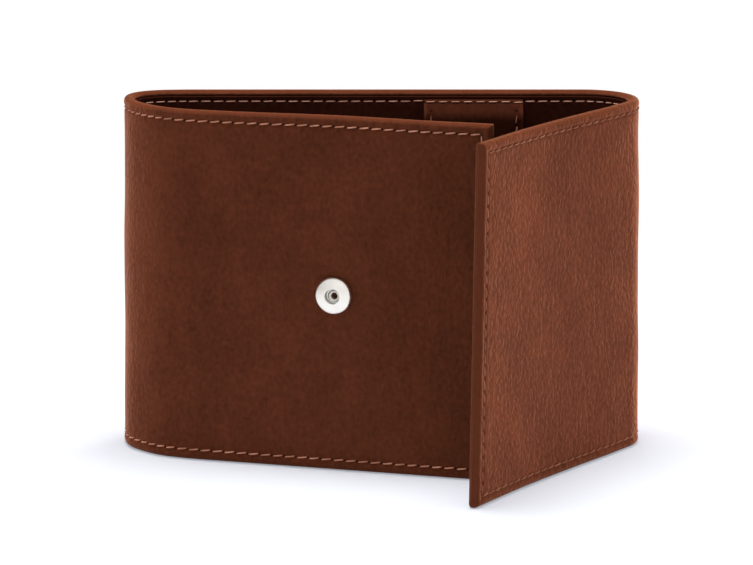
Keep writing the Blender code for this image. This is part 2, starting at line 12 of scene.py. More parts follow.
import bpy
import numpy as np
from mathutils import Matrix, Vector


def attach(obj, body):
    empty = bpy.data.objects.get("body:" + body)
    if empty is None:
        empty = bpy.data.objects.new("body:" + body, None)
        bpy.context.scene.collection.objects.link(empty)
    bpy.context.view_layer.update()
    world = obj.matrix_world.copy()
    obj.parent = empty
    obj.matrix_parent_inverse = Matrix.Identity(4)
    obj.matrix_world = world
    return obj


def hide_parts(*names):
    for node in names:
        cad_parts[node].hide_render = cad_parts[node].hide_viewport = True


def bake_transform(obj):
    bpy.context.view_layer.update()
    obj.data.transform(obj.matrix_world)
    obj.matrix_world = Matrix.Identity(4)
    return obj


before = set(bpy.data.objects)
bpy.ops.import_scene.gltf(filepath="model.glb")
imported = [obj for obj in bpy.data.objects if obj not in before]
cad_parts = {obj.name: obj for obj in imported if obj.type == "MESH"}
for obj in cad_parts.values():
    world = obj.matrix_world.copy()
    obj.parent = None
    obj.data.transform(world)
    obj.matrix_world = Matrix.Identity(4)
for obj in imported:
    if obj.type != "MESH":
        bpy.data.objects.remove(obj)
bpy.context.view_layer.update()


# Outer leather: one hide of calf, a millimetre thick, whose edges are skived, turned in and glued
# down over 8 mm, so that every edge is two layers thick and round. It is cut at the folds here, and
# each fold is cut in two at its middle.

MM = 0.001
WIDTH = 130.0 * MM
HEIGHT = 89.0 * MM
LEFT_FOLD_RADIUS = 16.5 * MM
RIGHT_FOLD_RADIUS = 13.7 * MM
LEFT_FLAP_LENGTH = 83.5 * MM
RIGHT_FLAP_LENGTH = 72.8 * MM
LEFT_FLAP_ANGLE = math.radians(16.4)
RIGHT_FLAP_ANGLE = math.radians(57.0)
BACK_LENGTH = WIDTH - LEFT_FOLD_RADIUS - RIGHT_FOLD_RADIUS
LEATHER = 1.0 * MM
HEM = 2.0 * MM
HEM_WIDTH = 8.0 * MM
THICKNESS = 3.0 * MM
EDGE = 2.9 * MM
RIM_REACH = 0.85 * MM
RIM_FULLNESS = 2.6
INNER_RIM_REACH = 1.7 * MM
INNER_RIM_FULLNESS = 2.0
EDGE_SHOULDER = (1.0 * MM, 1.4 * MM)
FLAP_CORNER_RADIUS = 0.4 * MM
SEAM_INSET = 2.6 * MM
STITCH = 3.175 * MM
FREE_EDGE_LEAN = 1.6 * MM
MERGE = 0.0001 * MM
SMOOTH_ANGLE = math.radians(35.0)

Stretch = collections.namedtuple("Stretch", "first last place heading radius")


def plan(stretch, s, y):
    """Place in the ground plan, as x + iy, of a point s along the walk and y in from the outer face.

    A straight stretch goes on along its heading. A fold turns the point about its own centre, which
    is a radius to the left of the start, by the distance walked over that radius.
    """
    walked = s - stretch.first
    if not stretch.radius:
        return stretch.place + stretch.heading * (walked + 1j * y)
    turn = walked / stretch.radius
    spoke = (stretch.radius - y) * (np.sin(turn) - 1j * np.cos(turn))
    return stretch.place + stretch.heading * (1j * stretch.radius + spoke)


def walk_round():
    """The five stretches, end to end, and then moved so that the back stands in its place."""
    found = {}
    first, place, heading = 0.0, 0j, cmath.exp(1j * RIGHT_FLAP_ANGLE)
    for name, length, radius in (
        ("right_flap", RIGHT_FLAP_LENGTH, 0),
        ("right_fold", RIGHT_FOLD_RADIUS * (math.pi - RIGHT_FLAP_ANGLE), RIGHT_FOLD_RADIUS),
        ("back", BACK_LENGTH, 0),
        ("left_fold", LEFT_FOLD_RADIUS * (math.pi - LEFT_FLAP_ANGLE), LEFT_FOLD_RADIUS),
        ("left_flap", LEFT_FLAP_LENGTH, 0),
    ):
        found[name] = Stretch(first, first + length, place, heading, radius)
        place = plan(found[name], first + length, 0)
        heading *= cmath.exp(1j * length / radius) if radius else 1
        first += length
    shift = complex(WIDTH / 2 - RIGHT_FOLD_RADIUS, HEM / 2) - found["back"].place
    return {name: stretch._replace(place=stretch.place + shift) for name, stretch in found.items()}


WALK = walk_round()


Hump = collections.namedtuple("Hump", "place reach at_foot at_top power")
HUMPS = (
    Hump(WALK["right_flap"].first + 26.0 * MM, 38.0 * MM, 0.9 * MM, 0.9 * MM, 1),
    Hump(WALK["right_flap"].first + 67.0 * MM, 16.0 * MM, -0.42 * MM, -0.42 * MM, 1),
    Hump(WALK["right_fold"].last - 21.5 * MM, 15.0 * MM, -0.8 * MM, 0.05 * MM, 1),
    Hump(WALK["left_fold"].first + 14.4 * MM, 13.0 * MM, -2.0 * MM, -2.2 * MM, 1),
    Hump(WALK["left_fold"].first + 25.9 * MM, 14.0 * MM, -0.5 * MM, 0.7 * MM, 1),
    Hump(WALK["left_fold"].first + 38.0 * MM, 17.0 * MM, 1.3 * MM, 2.5 * MM, 1),
    Hump(WALK["left_flap"].first + 43.0 * MM, 28.0 * MM, 0.0 * MM, 1.5 * MM, 3),
)


def sunk(s, z):
    """How far the settled leather lies in from its plan: humps along the walk, each a squared cosine.

    A hump's depth runs from its value at the foot to that at the top, by a power of the height.
    """
    depth = 0 * s
    for hump in HUMPS:
        shape = np.cos(np.clip((s - hump.place) / hump.reach, -1, 1) * math.pi / 2) ** 2
        rise = (hump.at_top - hump.at_foot) * (z / HEIGHT) ** hump.power
        depth = depth + shape * (hump.at_foot + rise)
    return depth


def laid(name, s, y, z):
    """World points of walk coordinates, sunk as the leather has settled. The right flap leans out too.

    The lean grows with the height, and with the 1.5th power of the share of the way to the free end.
    """
    y = y + sunk(s, z)
    if name == "right_flap":
        from_fold = np.clip((RIGHT_FLAP_LENGTH - s) / RIGHT_FLAP_LENGTH, 0, 1)
        y = y - FREE_EDGE_LEAN * from_fold**1.5 * z / HEIGHT
    spot = plan(WALK[name], s, y)
    return np.stack(np.broadcast_arrays(spot.real, spot.imag, z), -1)


def eased(x, low, high):
    """0 up to low, 1 from high on, and between them three squares less two cubes of the share."""
    share = np.clip((x - low) / (high - low), 0, 1)
    return share * share * (3 - 2 * share)


def rounding(distance, radius, fullness=RIM_FULLNESS):
    """Share of the half thickness that is lost this far from a rounded edge: a superellipse's fall."""
    share = np.clip(1 - distance / radius, 0, 1)
    return 1 - (1 - share**fullness) ** (1 / fullness)


def edge_steps(radius, zone):
    """Distances from an edge: close together round its rounding, then even up to the zone's end."""
    round_part = radius * (1 - np.cos(np.linspace(0, math.pi / 2, EDGE_ROUNDS)))
    return np.concatenate([round_part, np.arange(radius + SEAM_STEP, zone, SEAM_STEP)])


def across_rows(low, high, radius, middle_step, extra=()):
    """Heights from a lower to an upper edge, fine near both and coarser between."""
    edge = edge_steps(radius, SEAM_ZONE)
    count = math.ceil((high - low - 2 * SEAM_ZONE) / middle_step)
    middle = np.linspace(low + SEAM_ZONE, high - SEAM_ZONE, count + 1)
    return np.union1d(np.concatenate([low + edge, middle, high - edge]), extra)


def numbered(points):
    """Vertex numbers of a grid of points."""
    return np.arange(points.size // 3).reshape(points.shape[:-1])


def quads(ids):
    """The four corners of each cell of a grid of vertex numbers."""
    return np.stack([ids[:-1, :-1], ids[1:, :-1], ids[1:, 1:], ids[:-1, 1:]], -1).reshape(-1, 4)


def tube(ids):
    """The four corners of each cell between rings of vertex numbers, each ring closed on itself."""
    beside = np.roll(ids, -1, axis=-1)
    cells = [ids[..., :-1, :], beside[..., :-1, :], beside[..., 1:, :], ids[..., 1:, :]]
    return np.stack(cells, -1).reshape(-1, 4)


def strip(one, two):
    """The four corners of each cell between two lines of vertex numbers, which may share some."""
    return np.stack([one[:-1], one[1:], two[1:], two[:-1]], -1)


def add_mesh(name, points, cells, finish, marks=None):
    """A smooth piece with its sharp edges kept, from points, cells of four corners, and named marks.

    A mark is a vector for each point. Points that no cell has are dropped, and so are a cell's repeated
    corners, and cells that are left with fewer than three.
    """
    used = np.unique(cells)
    faces = [tuple(dict.fromkeys(row)) for row in np.searchsorted(used, cells).tolist()]
    faces = [face for face in faces if len(face) > 2]
    mesh = bpy.data.meshes.new(name)
    mesh.from_pydata(points.reshape(-1, 3)[used].tolist(), [], faces)
    for mark, values in (marks or {}).items():
        layer = mesh.attributes.new(mark, "FLOAT_VECTOR", "POINT")
        layer.data.foreach_set("vector", values.reshape(-1, 3)[used].astype(np.float32).ravel())
    mesh.shade_smooth()
    mesh.set_sharp_from_angle(angle=SMOOTH_ANGLE)
    mesh.materials.append(finish)
    piece = bpy.data.objects.new(name, mesh)
    bpy.context.scene.collection.objects.link(piece)
    return piece


def add_shell(name, outer, inner, finish, marks):
    """A closed skin between two grids of columns and rows, whose first and last rows meet.

    An end column that meets too, as at a free edge, closes by that. A strip of cells closes any other.
    """
    points = np.stack([outer, inner])
    ids = numbered(points)
    met = np.linalg.norm(outer - inner, axis=-1) < MERGE
    ids[1][met] = ids[0][met]
    cells = [quads(ids[0]), quads(ids[1])[:, ::-1]]
    if not met[0].all():
        cells.append(strip(ids[0][0], ids[1][0]))
    if not met[-1].all():
        cells.append(strip(ids[1][-1], ids[0][-1]))
    both = {mark: np.stack(pair) for mark, pair in marks.items()}
    return add_mesh(name, points, np.concatenate(cells), finish, both)


SWELL_SEED = 11
SWELL_LENGTHS = np.geomspace(11, 46, 9) * MM
SWELL_SHARE = 0.0011
PUFF = 0.11 * MM
SEAM_DENT = 0.26 * MM
SEAM_DENT_WIDTH = 0.55 * MM
STITCH_PULL = 0.15
SEAM_ZONE = 4.6 * MM
SEAM_STEP = 0.24 * MM
FACE_STEP = 0.62 * MM
EDGE_ROUNDS = 8
HEM_STEP = 0.05 * MM
HEM_ENDS = np.array([HEM_WIDTH, HEM_WIDTH + HEM_STEP])
LEATHER_ROWS = across_rows(0, HEIGHT, RIM_REACH, FACE_STEP, [*HEM_ENDS, *(HEIGHT - HEM_ENDS)])

SEAM_FIRST = SEAM_INSET
SEAM_LAST = WALK["left_flap"].last - SEAM_INSET
LONG_STITCHES = round((SEAM_LAST - SEAM_FIRST) / STITCH)
LONG_PITCH = (SEAM_LAST - SEAM_FIRST) / LONG_STITCHES
SHORT_STITCHES = round((HEIGHT - 2 * SEAM_INSET) / STITCH)
SHORT_PITCH = (HEIGHT - 2 * SEAM_INSET) / SHORT_STITCHES


def swell(s, z):
    """Slow unevenness of the hide: a sum of sine waves, as high as long, of seeded way and phase."""
    random = np.random.default_rng(SWELL_SEED)
    total = 0
    for length in SWELL_LENGTHS:
        heading, phase = random.uniform(0, 2 * math.pi, 2)
        way = s * np.cos(heading) + z * np.sin(heading)
        total = total + length * np.sin(way * 2 * math.pi / length + phase)
    return total


def seam_place(s, z, free):
    """How many stitches along the nearer seam a point is, and how far in from that seam's edge.

    free is the distance to a free end, whose seam runs up. The other seams run along the walk.
    """
    across = np.minimum(z, HEIGHT - z)
    on_short = free < across
    along = np.where(on_short, (z - SEAM_INSET) / SHORT_PITCH, (s - SEAM_FIRST) / LONG_PITCH)
    return along, np.minimum(across, free)


def leather_face(s, z, free, edge):
    """Depth of the outer face: its rounded rim, a soft roll, the seam pulled in, and the hide's swell.

    The roll is a squared sine between rim and seam. The seam is a bell curve, deepest at its holes.
    """
    along, inset = seam_place(s, z, free)
    roll = np.sin(math.pi * np.clip((inset - RIM_REACH / 2) / (SEAM_INSET - RIM_REACH), 0, 1)) ** 2
    pull = 1 - STITCH_PULL + STITCH_PULL * np.cos(2 * math.pi * along)
    pull = pull * np.exp(-(((inset - SEAM_INSET) / SEAM_DENT_WIDTH) ** 2))
    bulge = swell(s, z) * SWELL_SHARE * eased(inset, SEAM_INSET + SEAM_DENT_WIDTH, HEM_WIDTH)
    return EDGE / 2 * rounding(edge, RIM_REACH) - PUFF * roll + SEAM_DENT * pull - bulge


def leather_back(free, z, edge):
    """Depth of the inner side: an edge fuller than the hem, the hem, then bare leather by the board."""
    hem = 1 - (np.minimum(np.minimum(z, HEIGHT - z), free) > HEM_WIDTH + HEM_STEP / 2)
    full = (EDGE - HEM) * (1 - eased(edge, *EDGE_SHOULDER))
    rim = EDGE / 2 * rounding(edge, INNER_RIM_REACH, INNER_RIM_FULLNESS)
    return LEATHER + (HEM - LEATHER) * hem + full - rim


def unrolled(steps, depth):
    """Distance over the hide along a line of places and depths."""
    return np.concatenate([[0], np.cumsum(np.hypot(np.diff(steps), np.diff(depth)))])


HIDE_ROWS = unrolled(
    LEATHER_ROWS, EDGE / 2 * rounding(np.minimum(LEATHER_ROWS, HEIGHT - LEATHER_ROWS), RIM_REACH)
)


def leather_marks(s, z, free, edge, over_s):
    """The place on the flat hide, and the place against the seam and the edge, for both faces.

    The turned-in leather goes on past the rim on the hide. On the inner face no seam is near.
    """
    along, inset = seam_place(s, z, free)
    over_z = 0 * s + HIDE_ROWS
    turned_z = np.where(over_z > HIDE_ROWS[-1] / 2, 2 * HIDE_ROWS[-1] - over_z, -over_z)
    hides = [np.stack([over_s, place, 0 * s], -1) for place in (over_z, turned_z)]
    seams = [np.stack([along, place, edge], -1) for place in (inset - SEAM_INSET, 0 * s + HEIGHT)]
    return {"hide": hides, "seam": seams}


def add_leather(name, stretch, s, z, free, edge, over_s, finish):
    """Leather between its two faces, over a grid of places that lie over_s along the flat hide."""
    outer = laid(stretch, s, leather_face(s, z, free, edge), z)
    inner = laid(stretch, s, leather_back(free, z, edge), z)
    return add_shell(name, outer, inner, finish, leather_marks(s, z, free, edge, over_s))


def add_leather_run(name, stretch, first, last, finish):
    """A straight or folded run of leather between two turned edges, with no free end near."""
    columns = np.linspace(first, last, math.ceil((last - first) / FACE_STEP) + 1)
    s, z = np.meshgrid(columns, LEATHER_ROWS, indexing="ij")
    return add_leather(name, stretch, s, z, 0 * s + HEIGHT, np.minimum(z, HEIGHT - z), s, finish)


def rounded_corner(free, z, radius):
    """A square grid's corners drawn onto round ones.

    Each of a point's two offsets shrinks by the root of 1 less half the square of the other's share.
    """
    low = z < HEIGHT / 2
    across = np.where(low, z, HEIGHT - z)
    a = np.clip(radius - free, 0, radius)
    b = np.clip(radius - across, 0, radius)
    new_a = a * np.sqrt(1 - b**2 / (2 * radius**2))
    new_b = b * np.sqrt(1 - a**2 / (2 * radius**2))
    in_corner = (a > 0) & (b > 0)
    edge = np.where(in_corner, radius - np.hypot(new_a, new_b), np.minimum(across, free))
    new_z = z + np.where(low, b - new_b, new_b - b)
    return free + a - new_a, new_z, np.maximum(edge, 0)


def flap_columns(name):
    """Columns of a flap in the order of the walk, as distances from its free end."""
    length = WALK[name].last - WALK[name].first
    even = np.linspace(SEAM_ZONE, length, math.ceil((length - SEAM_ZONE) / FACE_STEP) + 1)
    free = np.union1d(np.concatenate([edge_steps(RIM_REACH, SEAM_ZONE), even]), HEM_ENDS)
    return free if name == "right_flap" else free[::-1]


def add_leather_flap(name, stretch, finish):
    """A flap's leather, turned in on three sides, with its two free corners rounded."""
    columns = flap_columns(stretch)
    over_free = unrolled(columns, EDGE / 2 * rounding(columns, RIM_REACH))
    free, z = np.meshgrid(columns, LEATHER_ROWS, indexing="ij")
    free, z, edge = rounded_corner(free, z, FLAP_CORNER_RADIUS)
    if stretch == "left_flap":
        s = WALK[stretch].last - free
        over_s = WALK[stretch].first + over_free
    else:
        s = WALK[stretch].first + free
        over_s = WALK[stretch].last - over_free[-1] + over_free
    return add_leather(name, stretch, s, z, free, edge, over_s[:, None] + 0 * z, finish)


def add_node(tree, kind, inputs=None, **settings):
    """A shader node with its settings, whose inputs are given as numbers or as other nodes' outputs."""
    node = tree.nodes.new("ShaderNode" + kind)
    for setting, value in settings.items():
        setattr(node, setting, value)
    for socket, value in (inputs or {}).items():
        if isinstance(value, bpy.types.NodeSocket):
            tree.links.new(value, node.inputs[socket])
        else:
            node.inputs[socket].default_value = value
    return node


def reckon(tree, operation, *values):
    """The output of a Math node."""
    return add_node(tree, "Math", dict(enumerate(values)), operation=operation).outputs[0]


def ramp(tree, value, low, high, to_low=0.0, to_high=1.0):
    """A smooth step from one value to another."""
    sockets = {"Value": value, "From Min": low, "From Max": high, "To Min": to_low, "To Max": to_high}
    return add_node(tree, "MapRange", sockets, interpolation_type="SMOOTHSTEP").outputs[0]


def blend_colours(tree, share, one, two):
    """The output of a colour mix, whose colours are linear RGB or other nodes' outputs."""
    node = add_node(tree, "Mix", {0: share}, data_type="RGBA")
    for socket, value in ((6, one), (7, two)):
        if isinstance(value, bpy.types.NodeSocket):
            tree.links.new(value, node.inputs[socket])
        else:
            node.inputs[socket].default_value = (*value, 1)
    return node.outputs[2]


def new_group(name, inputs, outputs):
    """An empty node group with named vector inputs and number outputs."""
    group = bpy.data.node_groups.new(name, "ShaderNodeTree")
    for label in inputs:
        group.interface.new_socket(label, in_out="INPUT", socket_type="NodeSocketVector")
    for label in outputs:
        group.interface.new_socket(label, in_out="OUTPUT", socket_type="NodeSocketFloat")
    return group, group.nodes.new("NodeGroupInput"), group.nodes.new("NodeGroupOutput")


def noise(tree, place, per_mm, detail, roughness=0.5):
    """The outputs of a noise pattern with so many lumps to the millimetre along the walk and up."""
    scale = (per_mm[0] / MM, per_mm[1] / MM, 1 / MM)
    spread = add_node(tree, "Mapping", {"Vector": place, "Scale": scale}).outputs[0]
    settings = {"Vector": spread, "Scale": 1.0, "Detail": detail, "Roughness": roughness}
    return add_node(tree, "TexNoise", settings).outputs


WANDER_PER_MM = (0.16, 0.12)
WANDER_REACH = 1.6 * MM
LUMPS_PER_MM = (0.95, 0.72)
WRINKLES_PER_MM = (0.70, 0.24)
STREAKS_PER_MM = (0.3, 0.10)
CLOUDS_PER_MM = (0.06, 0.045)
CREASE_WIDTH = 0.05


def grain_group():
    """Hide grain: small round lumps among upright, wandering wrinkles, over clouds and streaks of tone.

    Height is lumps and wrinkles, Tone is lumps with a little of the clouds and streaks, and both are
    from 0 to 1. A crease lies where the wrinkles' noise passes its middle value.
    """
    group, start, end = new_group("hide_grain", ["Place"], ["Height", "Crease", "Tone"])
    place = start.outputs["Place"]
    wander = noise(group, place, WANDER_PER_MM, 2.0)["Color"]
    drift = add_node(group, "VectorMath", {0: wander, "Scale": WANDER_REACH}, operation="SCALE")
    bent = add_node(group, "VectorMath", {0: place, 1: drift.outputs[0]}, operation="ADD").outputs[0]
    lump = noise(group, bent, LUMPS_PER_MM, 1.5, 0.45)["Fac"]
    wrinkle = noise(group, bent, WRINKLES_PER_MM, 2.0)["Fac"]
    streaks = noise(group, bent, STREAKS_PER_MM, 3.0)["Fac"]
    clouds = noise(group, place, CLOUDS_PER_MM, 4.0)["Fac"]
    height = reckon(group, "MULTIPLY_ADD", lump, 0.62, reckon(group, "MULTIPLY", wrinkle, 0.38))
    off_middle = reckon(group, "ABSOLUTE", reckon(group, "SUBTRACT", wrinkle, 0.5))
    crease = ramp(group, off_middle, 0.0, CREASE_WIDTH, 1.0, 0.0)
    slow = reckon(group, "MULTIPLY_ADD", streaks, 0.35, reckon(group, "MULTIPLY", clouds, 0.75))
    slow = reckon(group, "MULTIPLY_ADD", ramp(group, slow, 0.35, 0.75), 0.3, -0.1)
    group.links.new(height, end.inputs["Height"])
    group.links.new(crease, end.inputs["Crease"])
    group.links.new(reckon(group, "MULTIPLY_ADD", lump, 0.9, slow), end.inputs["Tone"])
    return group


HOLE_LENGTH = 0.46 * MM
HOLE_WIDTH = 0.34 * MM


def needle_group():
    """Needle holes and rim, from the place along and across the seam, and in from the edge.

    A hole is an oval at every whole stitch that fades out round a reach of 1. The rim fades inwards.
    """
    group, start, end = new_group("needle_holes", ["Seam"], ["Hole", "Rim"])
    parts = add_node(group, "SeparateXYZ", {0: start.outputs["Seam"]}).outputs
    off = reckon(group, "SUBTRACT", reckon(group, "FRACT", reckon(group, "ADD", parts[0], 0.5)), 0.5)
    along = reckon(group, "POWER", reckon(group, "MULTIPLY", off, STITCH / HOLE_LENGTH), 2)
    across = reckon(group, "POWER", reckon(group, "DIVIDE", parts[1], HOLE_WIDTH), 2)
    reach = reckon(group, "SQRT", reckon(group, "ADD", along, across))
    group.links.new(ramp(group, reach, 0.55, 1.15, 1.0, 0.0), end.inputs["Hole"])
    rim = ramp(group, parts[2], RIM_REACH * 0.3, RIM_REACH * 1.2, 1.0, 0.0)
    group.links.new(rim, end.inputs["Rim"])
    return group


HIDE_GRAIN = grain_group()
NEEDLE_HOLES = needle_group()


def new_finish(name, roughness, metallic=0.0, specular=0.5):
    """A material with plain values on its Principled BSDF, and the tree and shader it is wired from."""
    material = bpy.data.materials.new(name)
    material.use_nodes = True
    shader = material.node_tree.nodes["Principled BSDF"]
    shader.inputs["Roughness"].default_value = roughness
    shader.inputs["Metallic"].default_value = metallic
    shader.inputs["Specular IOR Level"].default_value = specular
    return material, material.node_tree, shader


def use_group(tree, group, place):
    """The outputs of a node group fed with a place."""
    node = tree.nodes.new("ShaderNodeGroup")
    node.node_tree = group
    tree.links.new(place, node.inputs[0])
    return node.outputs


def mark(tree, name):
    """A piece's own mark, as a vector."""
    return add_node(tree, "Attribute", attribute_name=name).outputs["Vector"]


SHEEN_ROUGHNESS = 0.3
SHEEN_TINT = (1.0, 0.55, 0.32)
HOLES_OPEN = (WALK["right_fold"].first, WALK["back"].first + 15.0 * MM)
HOLES_RUBBED_FAINT_SHADE = 0.15
HOLE_DEPTH_MM = 0.12
# Needle holes and creases are painted darker as their shade: how much of it, and how dark.
HOLE_SHARE, HOLE_PAINTED_SHADE = 0.8, 0.40
CREASE_SHARE, CREASE_PAINTED_SHADE = 0.07, 0.35
RIM_SHARE, RIM_SMOOTHED = 0.8, 0.6
DULL_HOLLOWS, BRIGHT_TOPS = 0.10, 0.16


def leather_finish(name, deep, lit, edge, relief_mm, roughness, specular, sheen=0.0, painted_sheen=0.0):
    """Grained leather: tone between two colours, with painted shade in creases and holes, burnished on
    its rim.

    Where it is seen askance its colour is lifted by a share times Facing squared: a painted sheen.
    The right flap's needle holes are rubbed nearly closed, shallower and with fainter painted shade,
    and along its fold they open again.
    """
    material, tree, shader = new_finish(name, roughness, specular=specular)
    shader.inputs["Sheen Weight"].default_value = sheen
    shader.inputs["Sheen Roughness"].default_value = SHEEN_ROUGHNESS
    shader.inputs["Sheen Tint"].default_value = (*SHEEN_TINT, 1)
    hide = mark(tree, "hide")
    grain = use_group(tree, HIDE_GRAIN, hide)
    seam = use_group(tree, NEEDLE_HOLES, mark(tree, "seam"))
    walked = add_node(tree, "SeparateXYZ", {0: hide}).outputs[0]
    hole = reckon(tree, "MULTIPLY", seam["Hole"], ramp(tree, walked, *HOLES_OPEN, HOLES_RUBBED_FAINT_SHADE, 1.0))
    # Painted sheen: the colour is lifted where the leather is seen askance.
    askance = add_node(tree, "LayerWeight", {"Blend": 0.5}).outputs["Facing"]
    lift = reckon(tree, "MULTIPLY_ADD", reckon(tree, "MULTIPLY", askance, askance), painted_sheen, 1.0)
    colour = blend_colours(tree, grain["Tone"], deep, lit)
    colour = add_node(tree, "VectorMath", {0: colour, "Scale": lift}, operation="SCALE").outputs[0]
    # The rim takes its burnished colour, and creases and needle holes take painted shade.
    for mask, share, other in (
        (seam["Rim"], RIM_SHARE, edge),
        (grain["Crease"], CREASE_SHARE, tuple(CREASE_PAINTED_SHADE * c for c in deep)),
        (hole, HOLE_SHARE, tuple(HOLE_PAINTED_SHADE * c for c in deep)),
    ):
        colour = blend_colours(tree, reckon(tree, "MULTIPLY", mask, share), colour, other)
    tree.links.new(colour, shader.inputs["Base Color"])
    rough = reckon(tree, "MULTIPLY_ADD", grain["Height"], -BRIGHT_TOPS, roughness + DULL_HOLLOWS)
    tree.links.new(rough, shader.inputs["Roughness"])
    smooth = reckon(tree, "MULTIPLY_ADD", seam["Rim"], -RIM_SMOOTHED, 1.0)
    height = reckon(tree, "MULTIPLY", reckon(tree, "MULTIPLY", grain["Height"], relief_mm), smooth)
    height = reckon(tree, "MULTIPLY_ADD", hole, -HOLE_DEPTH_MM, height)
    bump = add_node(tree, "Bump", {"Height": height, "Distance": MM, "Strength": 1.0})
    tree.links.new(bump.outputs[0], shader.inputs["Normal"])
    return material


OUTER_LEATHER = leather_finish(
    "outer_leather",
    deep=(0.060, 0.0162, 0.0073),
    lit=(0.140, 0.0380, 0.0172),
    edge=(0.108, 0.0295, 0.0134),
    relief_mm=0.68,
    roughness=0.50,
    specular=0.02,
    sheen=0.16,
    # The lift of colour where the leather is seen askance is painted sheen.
    painted_sheen=2.0,
)


def fold_halves(fold):
    """Both halves of a fold: a word for each, where it starts and ends, and the bodies it joins."""
    first, last = WALK[fold].first, WALK[fold].last
    middle = (first + last) / 2
    before, after = ("right_flap", "back") if fold == "right_fold" else ("back", "left_flap")
    return ("start", first, middle, before, fold), ("end", middle, last, fold, after)


def bend_with(piece, fold, first, last):
    """Bakes a piece of a fold into its mesh; its ends on the lining's chord are found, but nothing
    bends it.
    """
    start = laid(fold, first, THICKNESS, HEIGHT / 2)
    end = laid(fold, last, THICKNESS, HEIGHT / 2)
    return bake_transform(piece)


def settle(piece, body, node):
    """A rigid piece: it rides on a body and stands for a CAD node, which it hides."""
    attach(piece, body)
    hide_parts(node)


def over_folds(make, kind):
    """Both halves of both folds, by make(name, fold, first, last), for the CAD nodes of a kind."""
    for fold in ("right_fold", "left_fold"):
        for word, first, last, before, after in fold_halves(fold):
            piece = make(f"{fold}_{kind}_{word}", fold, first, last)
            bend_with(piece, fold, first, last)
            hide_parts(f"{fold}_{kind}")


BACK = WALK["back"]
back_skin = add_leather_run("back_leather_skin", "back", BACK.first, BACK.last, OUTER_LEATHER)
settle(back_skin, "back", "back_leather")
for flap in ("left_flap", "right_flap"):
    skin = add_leather_flap(f"{flap}_leather_skin", flap, OUTER_LEATHER)
    settle(skin, flap, f"{flap}_leather")
over_folds(lambda *run: add_leather_run(*run, OUTER_LEATHER), "leather")


# Lining: thin split leather, dyed near black, cut 1.5 mm short of the edges and held only by the
# seams. The slip pocket inside the left flap is a second sheet of it, open towards the fold.

CLEARANCE = 0.3 * MM
LINING = 0.7 * MM
LINING_FACE = HEM + CLEARANCE
LINING_INSET = 1.45 * MM
LINING_ROUND = 0.3 * MM
LINING_DENT = 0.2 * MM
LINING_STEP = 0.9 * MM
LINING_ROWS = across_rows(LINING_INSET, HEIGHT - LINING_INSET, LINING_ROUND, LINING_STEP)
LEFT_FREE = WALK["left_flap"].last - LINING_INSET
RIGHT_FREE = WALK["right_flap"].first + LINING_INSET
POCKET_FIRST = WALK["left_flap"].first + 18.0 * MM
POCKET_FACE = THICKNESS + CLEARANCE


def add_lining(name, stretch, first, last, finish, face=LINING_FACE, open_end=None, mouth=False):
    """A sheet from the depth of its face, round at its cut edges, its seams pulled in where it shows.

    Its free end, and its mouth if it has one, are cut edges too. Other ends butt on the next sheet.
    """
    edge_columns = edge_steps(LINING_ROUND, SEAM_ZONE)
    columns = np.linspace(first, last, math.ceil((last - first) / LINING_STEP) + 1)
    if open_end == "last":
        columns = np.union1d(columns[columns < last - SEAM_ZONE], last - edge_columns)
    if open_end == "first":
        columns = np.union1d(columns[columns > first + SEAM_ZONE], first + edge_columns)
    if mouth:
        columns = np.union1d(columns, first + edge_columns[edge_columns < 2 * LINING_ROUND])
    s, z = np.meshgrid(columns, LINING_ROWS, indexing="ij")
    edge = np.minimum(z, HEIGHT - z) - LINING_INSET
    free = 0 * s + HEIGHT
    if open_end:
        to_end = last - s if open_end == "last" else s - first
        free = to_end + LINING_INSET
        edge = np.minimum(edge, to_end)
    if mouth:
        edge = np.minimum(edge, s - first)
    along, inset = seam_place(s, z, free)
    lost = rounding(np.maximum(edge, 0), LINING_ROUND)
    dent = LINING_DENT * np.exp(-(((inset - SEAM_INSET) / SEAM_DENT_WIDTH) ** 2)) * (1 - lost)
    hidden = laid(stretch, s, face + LINING / 2 * lost, z)
    seen = laid(stretch, s, face + LINING - LINING / 2 * lost - dent, z)
    hide = np.stack([s, z, 0 * s], -1)
    far = np.stack([along, 0 * s + HEIGHT, 0 * s + HEIGHT], -1)
    near = np.stack([along, inset - SEAM_INSET, 0 * s + HEIGHT], -1)
    return add_shell(name, hidden, seen, finish, {"hide": (hide, hide), "seam": (far, near)})


LINING_LEATHER = leather_finish(
    "lining_leather",
    deep=(0.0230, 0.0054, 0.0032),
    lit=(0.0540, 0.0136, 0.0078),
    edge=(0.0460, 0.0115, 0.0066),
    relief_mm=0.08,
    roughness=0.62,
    specular=0.01,
)

for node, stretch, first, last, ends in (
    ("back_lining", "back", BACK.first, BACK.last, {}),
    ("left_flap_lining", "left_flap", WALK["left_flap"].first, LEFT_FREE, {"open_end": "last"}),
    ("right_flap_lining", "right_flap", RIGHT_FREE, WALK["right_flap"].last, {"open_end": "first"}),
    ("left_slip_pocket", "left_flap", POCKET_FIRST, LEFT_FREE, {"open_end": "last", "mouth": True}),
):
    face = POCKET_FACE if node == "left_slip_pocket" else LINING_FACE
    sheet = add_lining(f"{node}_sheet", stretch, first, last, LINING_LEATHER, face, **ends)
    settle(sheet, stretch, node)
over_folds(lambda *run: add_lining(*run, LINING_LEATHER), "lining")


# Boards: grey board glued between leather and lining in each panel, and a narrow stay of it in each
# fold. All of it is hidden, and the stays curve round the folds.

BOARD_FACE = 1.3 * MM
BOARD = 0.7 * MM
BOARD_EDGE = HEM_WIDTH + CLEARANCE
BOARD_SETBACK = 2.0 * MM
STAY_WIDTH = 11.0 * MM
BOARD_STEP = 3.0 * MM


